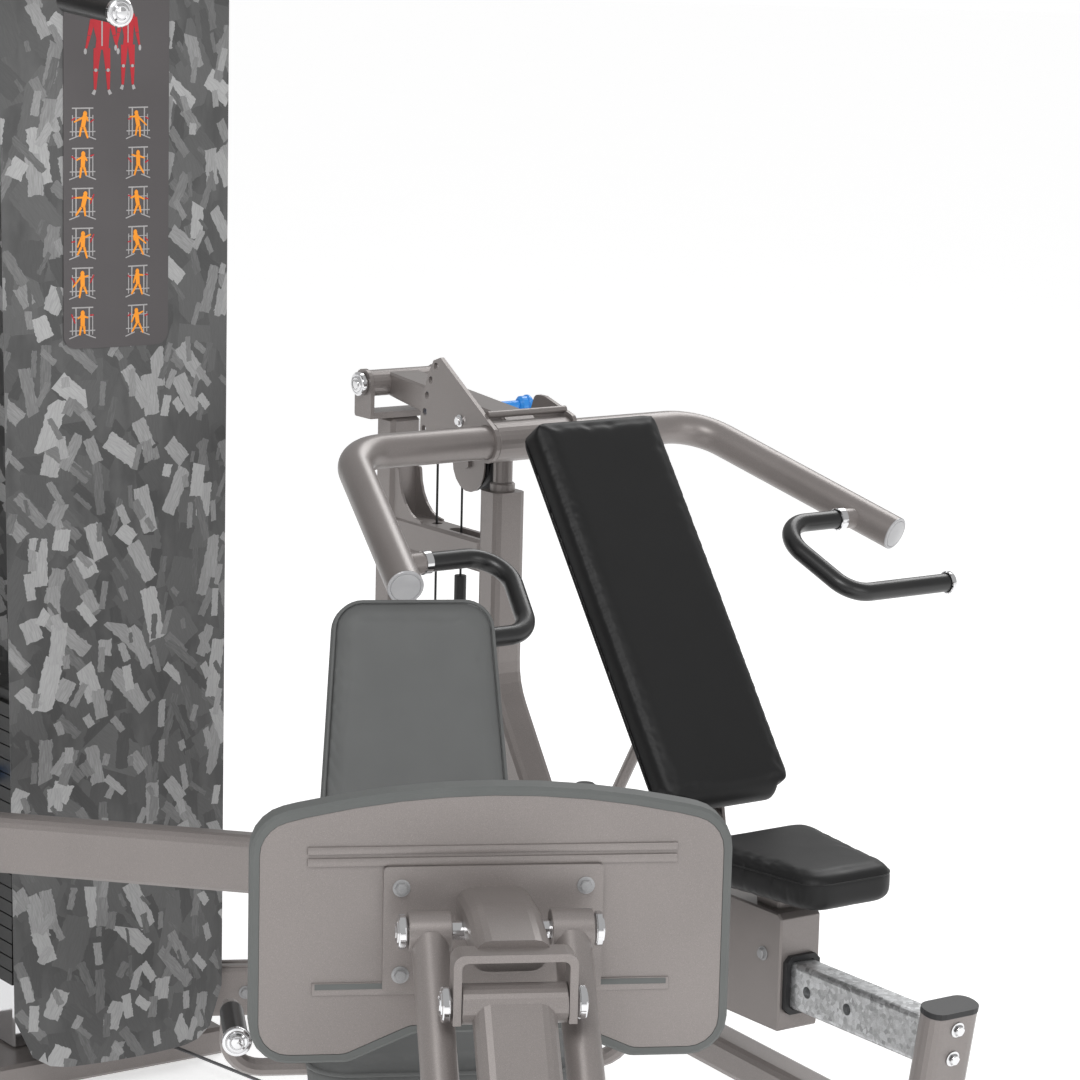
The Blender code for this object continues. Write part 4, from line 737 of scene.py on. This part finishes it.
def press_fittings():
    bend, end = at(0.380, 0.076, 1.082), at(0.524, 0.490, 0.932)
    along = (end - bend).normalized()
    for sign, name in ((1, "right"), (-1, "left")):
        flip = Matrix.Scale(sign, 4, (1, 0, 0))
        bm = bmesh.new()
        disc_end = bmesh.new()
        profile = [(0.0, -0.001), (0.0304, -0.001), (0.0308, 0.0016), (0.0296, 0.0030), (0.0262, 0.0032), (0.0254, 0.0022), (0.0246, 0.0036), (0.014, 0.0052), (0.0, 0.0058)]
        lathe(disc_end, profile, frame_along(end, along), 56)
        disc_end.transform(flip)
        given(object_of(disc_end, f"arm_end_{name}", ARM_END, PRESS), "arms")
        root = end - along * 0.070
        inner = root - Vector((0.215, 0, 0))
        turn = inner + at(0.057, 0.165, -0.099)
        tip = turn + Vector((0.222, 0, 0))
        ringed_cap(bm, frame_along(tip, (1, 0, 0)), 0.0205)
        lathe(bm, [(0.0182, -0.006), (0.0205, -0.005), (0.0205, 0.008), (0.0182, 0.009)], frame_along(root - Vector((0.055, 0, 0)), (-1, 0, 0)), 32)
        bm.transform(flip)
        given(object_of(bm, f"arm_chrome_{name}", FINISH["chrome"], PRESS), "arms")
        stub = bmesh.new()
        tube_into(stub, [root - Vector((0.022, 0, 0)), root - Vector((0.050, 0, 0))], 0.0185, sides=28)
        stub.transform(flip)
        given(object_of(stub, f"grip_stub_{name}", FINISH["frame_paint"], PRESS), "arms")
    bm = bmesh.new()
    for s in (-1, 1):
        ringed_cap(bm, frame_along(at(s * 0.0915, *PIVOT), (s, 0, 0)), 0.0225)
    given(object_of(bm, "pivot_caps", FINISH["chrome"], PRESS), "frame")
    bolts("quadrant_bolt", [(at(-0.0918, -0.008, 1.110), (-1, 0, 0))], "arms", PRESS, FINISH["chrome"], 0.0085, 0.006)
    bolts("carriage_bolts", [(at(-0.0424, 0.700, 0.300), (-1, 0, 0)), (at(-0.0424, 0.860, 0.330), (-1, 0, 0)), (at(0.0424, 0.700, 0.300), (1, 0, 0)), (at(0.0424, 0.860, 0.330), (1, 0, 0))], "carriage", PRESS)
    lean = math.atan(0.1737)
    out = at(0, math.cos(lean), -math.sin(lean))
    places = [(at(0, 1.2205 + 0.1737 * z + 0.0258 / math.cos(lean), z), out) for z in (0.315, 0.265)]
    bolts("post_bolts", places, "frame", PRESS, FINISH["chrome"], 0.0095, 0.007)
    bush = bmesh.new()
    for grow, forward in ((0.0100, 0.9105),):
        w, h = 0.025 + grow, 0.040 + grow
        outer = [(w, -h + 0.010), (w, h - 0.010), (w - 0.010, h), (-w + 0.010, h), (-w, h - 0.010), (-w, -h + 0.010), (-w + 0.010, -h), (w - 0.010, -h)]
        w, h = 0.0264, 0.0414
        inner = [(w, -h + 0.006), (w, h - 0.006), (w - 0.006, h), (-w + 0.006, h), (-w, h - 0.006), (-w, -h + 0.006), (-w + 0.006, -h), (w - 0.006, -h)]
        rings = []
        for outline, f in ((outer, forward - 0.005), (outer, forward + 0.005), (inner, forward + 0.005), (inner, forward - 0.005)):
            rings.append([bush.verts.new(at(x, f, 0.285 + z)) for x, z in outline])
        for a, b in zip(rings, [*rings[1:], rings[0]]):
            for i in range(8):
                bush.faces.new((a[i], a[(i + 1) % 8], b[(i + 1) % 8], b[i]))
    given(object_of(bush, "rail_bush", FINISH["black_plastic"], PRESS), "carriage")
    board = bmesh.new()
    top, foot = Vector((0.285, 1.155)), Vector((0.712, 0.572))
    up = (top - foot).normalized()
    behind = Vector((-up.y, up.x))
    if behind.x > 0:
        behind.negate()
    face = PRESS @ plane_from(at(0, *(foot + behind * 0.0585)), at(0, *up), (1, 0, 0))
    outline = arc_outline([(-0.122, 0.060), (0.122, 0.060), (0.122, 0.700), (-0.122, 0.700)], [0.03] * 4, 6)
    prism(board, outline, 0.0040, face @ Matrix.Translation((0, 0, -0.0022)))
    given(object_of(board, "back_board", FINISH["black_plastic"]), "back")
    knob = bmesh.new()
    for k in range(12):
        a = math.tau * k / 12
        lathe(knob, [(0.0, -0.002), (0.0042, -0.002), (0.0046, 0.0), (0.0046, 0.013), (0.0030, 0.017), (0.0, 0.018)], Matrix.Translation(at(0.0195 * math.cos(a), 0.283 + 0.0195 * math.sin(a), 0.4655)), 10)
    given(object_of(knob, "strut_knob_lobes", FINISH["black_plastic"], PRESS), "strut_knob")
    flange = bmesh.new()
    lathe(flange, [(0.0, 0.0), (0.0155, 0.0), (0.0172, 0.002), (0.0172, 0.006), (0.0150, 0.009), (0.0090, 0.0105), (0.0, 0.011)], frame_along(at(0.1330, -0.125, 1.111), (1, 0, 0)), 36)
    given(object_of(flange, "pull_pin_head", FINISH["blue_knob"], PRESS), "pull_pin")


# ---------------------------------------------------------------- leg press fittings

def leg_fittings():
    rib = bmesh.new()
    for low, high in ((0.8300, 0.8410), (0.8460, 0.8560)):
        box_into(rib, (0.482, 0.0040, high - low), (0, -0.0046, (low + high) / 2), bevel=0.0014)
    box_into(rib, (0.468, 0.0030, 0.0170), (0, -0.0040, 0.6660), bevel=0.0012)
    given(object_of(rib, "plate_ribs", FINISH["frame_paint"], LEG), "foot")
    # Painted shade: a thin dark strip in the upper part of the foot plate's groove stands in for the shade under the
    # groove's top edge; it is not a part of its own.
    shade = bmesh.new()
    box_into(shade, (0.460, 0.0012, 0.0075), (0, -0.0060, 0.6695), bevel=0.0004)
    given(object_of(shade, "plate_groove_painted_shade", FINISH["edge_rubber"], LEG), "foot")
    face = -0.0116
    places = [(Vector((x, face, z)), (0, -1, 0)) for x in (-0.120, 0.120) for z in (0.686, 0.802)]
    bolts("plate_bolts", places, "foot", LEG, STEEL, 0.0085, 0.0065)
    caps = bmesh.new()
    for s in (-1, 1):
        ringed_cap(caps, frame_along(at(s * 0.1262, *UPPER_AXLE), (s, 0, 0)), 0.0225)
        ringed_cap(caps, frame_along(at(s * 0.0851, *LOWER_AXLE), (s, 0, 0)), 0.0225)
    given(object_of(caps, "axle_caps", FINISH["chrome"], LEG), "foot")
    base = bmesh.new()
    for s in (-1, 1):
        lathe(base, [(0.0, 0.0), (0.0195, 0.0), (0.0205, 0.0015), (0.0190, 0.005), (0.0, 0.006)], frame_along(at(s * 0.1242, UPPER_AXLE[0] + 0.5, UPPER_AXLE[1] - 0.5), (s, 0, 0)), 36)
    given(object_of(base, "base_pin_caps", FINISH["chrome"], LEG), "frame")
    for sign, name in ((1, "right"), (-1, "left")):
        grip = bmesh.new()
        tube_into(grip, [at(sign * 0.300, -0.484, 0.437), at(sign * 0.300, -0.610, 0.437)], 0.0178, sides=28)
        given(object_of(grip, f"seat_grip_{name}", FINISH["grip_rubber"], LEG), "frame")
        cap = bmesh.new()
        ringed_cap(cap, frame_along(at(sign * 0.300, -0.4795, 0.437), at(0, 1, 0)), 0.0215)
        given(object_of(cap, f"seat_grip_cap_{name}", FINISH["chrome"], LEG), "frame")


# ---------------------------------------------------------------- tower fittings

def tower_fittings():
    caps = bmesh.new()
    grips = bmesh.new()
    for s in (-1, 1):
        start, end = Vector((s * 0.177, -0.185, 1.8755)), Vector((s * 0.177, -0.357, 1.8642))
        tube_into(grips, [start, end], 0.0190, sides=28)
        ringed_cap(caps, frame_along(end, end - start), 0.0225)
        low, high = Vector((s * 0.4570, -0.1297, 1.9572)), Vector((s * 0.3750, -0.1215, 2.0015))
        tube_into(grips, [low, high], 0.0175, sides=24)
        lathe(caps, [(0.0, 0.006), (0.014, 0.0045), (0.0190, 0.001), (0.0190, -0.004), (0.0150, -0.005)], frame_along(low, low - high), 32)
    given(object_of(grips, "bar_grips", FINISH["grip_rubber"], TOWER), "frame")
    given(object_of(caps, "bar_caps", FINISH["chrome"], TOWER), "frame")
    marks = bmesh.new()
    for sign, body in ((1, "frame"), (-1, "frame")):
        for i in range(14):
            z = 0.17 + 0.025 * i + 0.0125
            box_into(marks, (0.030, 0.0012, 0.0115), (sign * 0.375, 0.1246, z), bevel=0.0004)
    given(object_of(marks, "stack_labels", SKIN, TOWER), "frame")
    rows = bmesh.new()
    for sign in (-1, 1):
        for f, z in ((0.19, 2.09), (0.49, 2.09)):
            hex_bolt(rows, frame_along(Vector((sign * 0.6203, f - 0.09, z)), (sign, 0, 0)), 0.009, 0.006)
    given(object_of(rows, "beam_bolts", STEEL, TOWER), "frame")


def link_beam_fittings():
    """Two light ridges along the low beam's top, and a bolt near its tower end."""
    start, end = PLAN + Vector((0.540, 0.062, 0)), PLAN + Vector((1.080, -0.2095, 0))
    along = (end - start).normalized()
    out = Vector((along.y, -along.x, 0))
    bm = bmesh.new()
    for offset in (-0.0135, 0.0135):
        box_into(bm, ((end - start).length - 0.02, 0.0110, 0.0032), (0, 0, 0), Matrix.Translation((start + end) / 2 + out * offset + Vector((0, 0, 0.1708))) @ Matrix.Rotation(math.atan2(along.y, along.x), 4, "Z"), 0.001)
    given(object_of(bm, "link_beam_ridges", FINISH["frame_paint"]), "frame")
    bolt = bmesh.new()
    hex_bolt(bolt, frame_along(start + along * 0.060 + out * 0.0252 + Vector((0, 0, 0.125)), out), 0.009, 0.006)
    given(object_of(bolt, "link_beam_bolt", STEEL), "frame")


# ---------------------------------------------------------------- stage, light and camera

def set_stage():
    bm = bmesh.new()
    bmesh.ops.create_grid(bm, x_segments=2, y_segments=2, size=60.0)
    n = Nodes("pale_floor")
    soft = n.noise(2.0, 2.0)
    pale = n.finish(color=n.mix(soft, (0.86, 0.86, 0.86), (0.88, 0.88, 0.88)), rough=0.9)
    n.feed(n.shader.inputs["Emission Color"], (1.0, 1.0, 1.0, 1.0))
    n.feed(n.shader.inputs["Emission Strength"], 0.55)
    floor = object_of(bm, "floor", pale)
    floor.location.z = -0.0015
    floor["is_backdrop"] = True
    world = bpy.data.worlds.new("studio")
    world.use_nodes = True
    tree = world.node_tree
    seen = tree.nodes.new("ShaderNodeLightPath").outputs["Is Camera Ray"]
    level = tree.nodes.new("ShaderNodeMapRange")
    level.inputs["To Min"].default_value = 0.50
    level.inputs["To Max"].default_value = 1.0
    tree.links.new(seen, level.inputs["Value"])
    tree.nodes["Background"].inputs[0].default_value = (1.0, 1.0, 1.0, 1.0)
    tree.links.new(level.outputs[0], tree.nodes["Background"].inputs[1])
    bpy.context.scene.world = world
    for name, place, aim, size, energy in (
        ("key", (-3.6, -3.2, 5.2), (0.2, 0.2, 0.7), 2.6, 185.0),
        ("front", (0.8, -6.2, 3.0), (0.2, 0.2, 0.7), 3.0, 70.0),
        ("rim", (3.8, 2.6, 4.2), (0.3, 0.2, 0.7), 2.4, 80.0),
    ):
        data = bpy.data.lights.new(name, "AREA")
        data.size = size
        data.energy = energy
        lamp = bpy.data.objects.new(name, data)
        lamp.location = place
        lamp.rotation_euler = (Vector(aim) - Vector(place)).to_track_quat("-Z", "Y").to_euler()
        bpy.context.scene.collection.objects.link(lamp)


def set_camera():
    data = bpy.data.cameras.new("camera")
    data.lens = 120.0
    data.sensor_width = 36.0
    data.clip_end = 60.0
    camera = bpy.data.objects.new("camera", data)
    turn = Matrix.Rotation(math.radians(-35.0), 4, "Z") @ Matrix.Rotation(math.radians(79.5), 4, "X") @ Matrix.Rotation(math.radians(1.37), 4, "Z")
    camera.matrix_world = Matrix.Translation(PLAN + Vector((-2.523, -5.299, 2.09))) @ turn
    bpy.context.scene.collection.objects.link(camera)
    bpy.context.scene.camera = camera
    bpy.context.scene.view_settings.view_transform = "Standard"


dress_cad()
upholstery()
fine_arms()
fine_links()
placard()
press_fittings()
leg_fittings()
tower_fittings()
link_beam_fittings()
set_stage()
set_camera()
write_size("visual", SIZE)
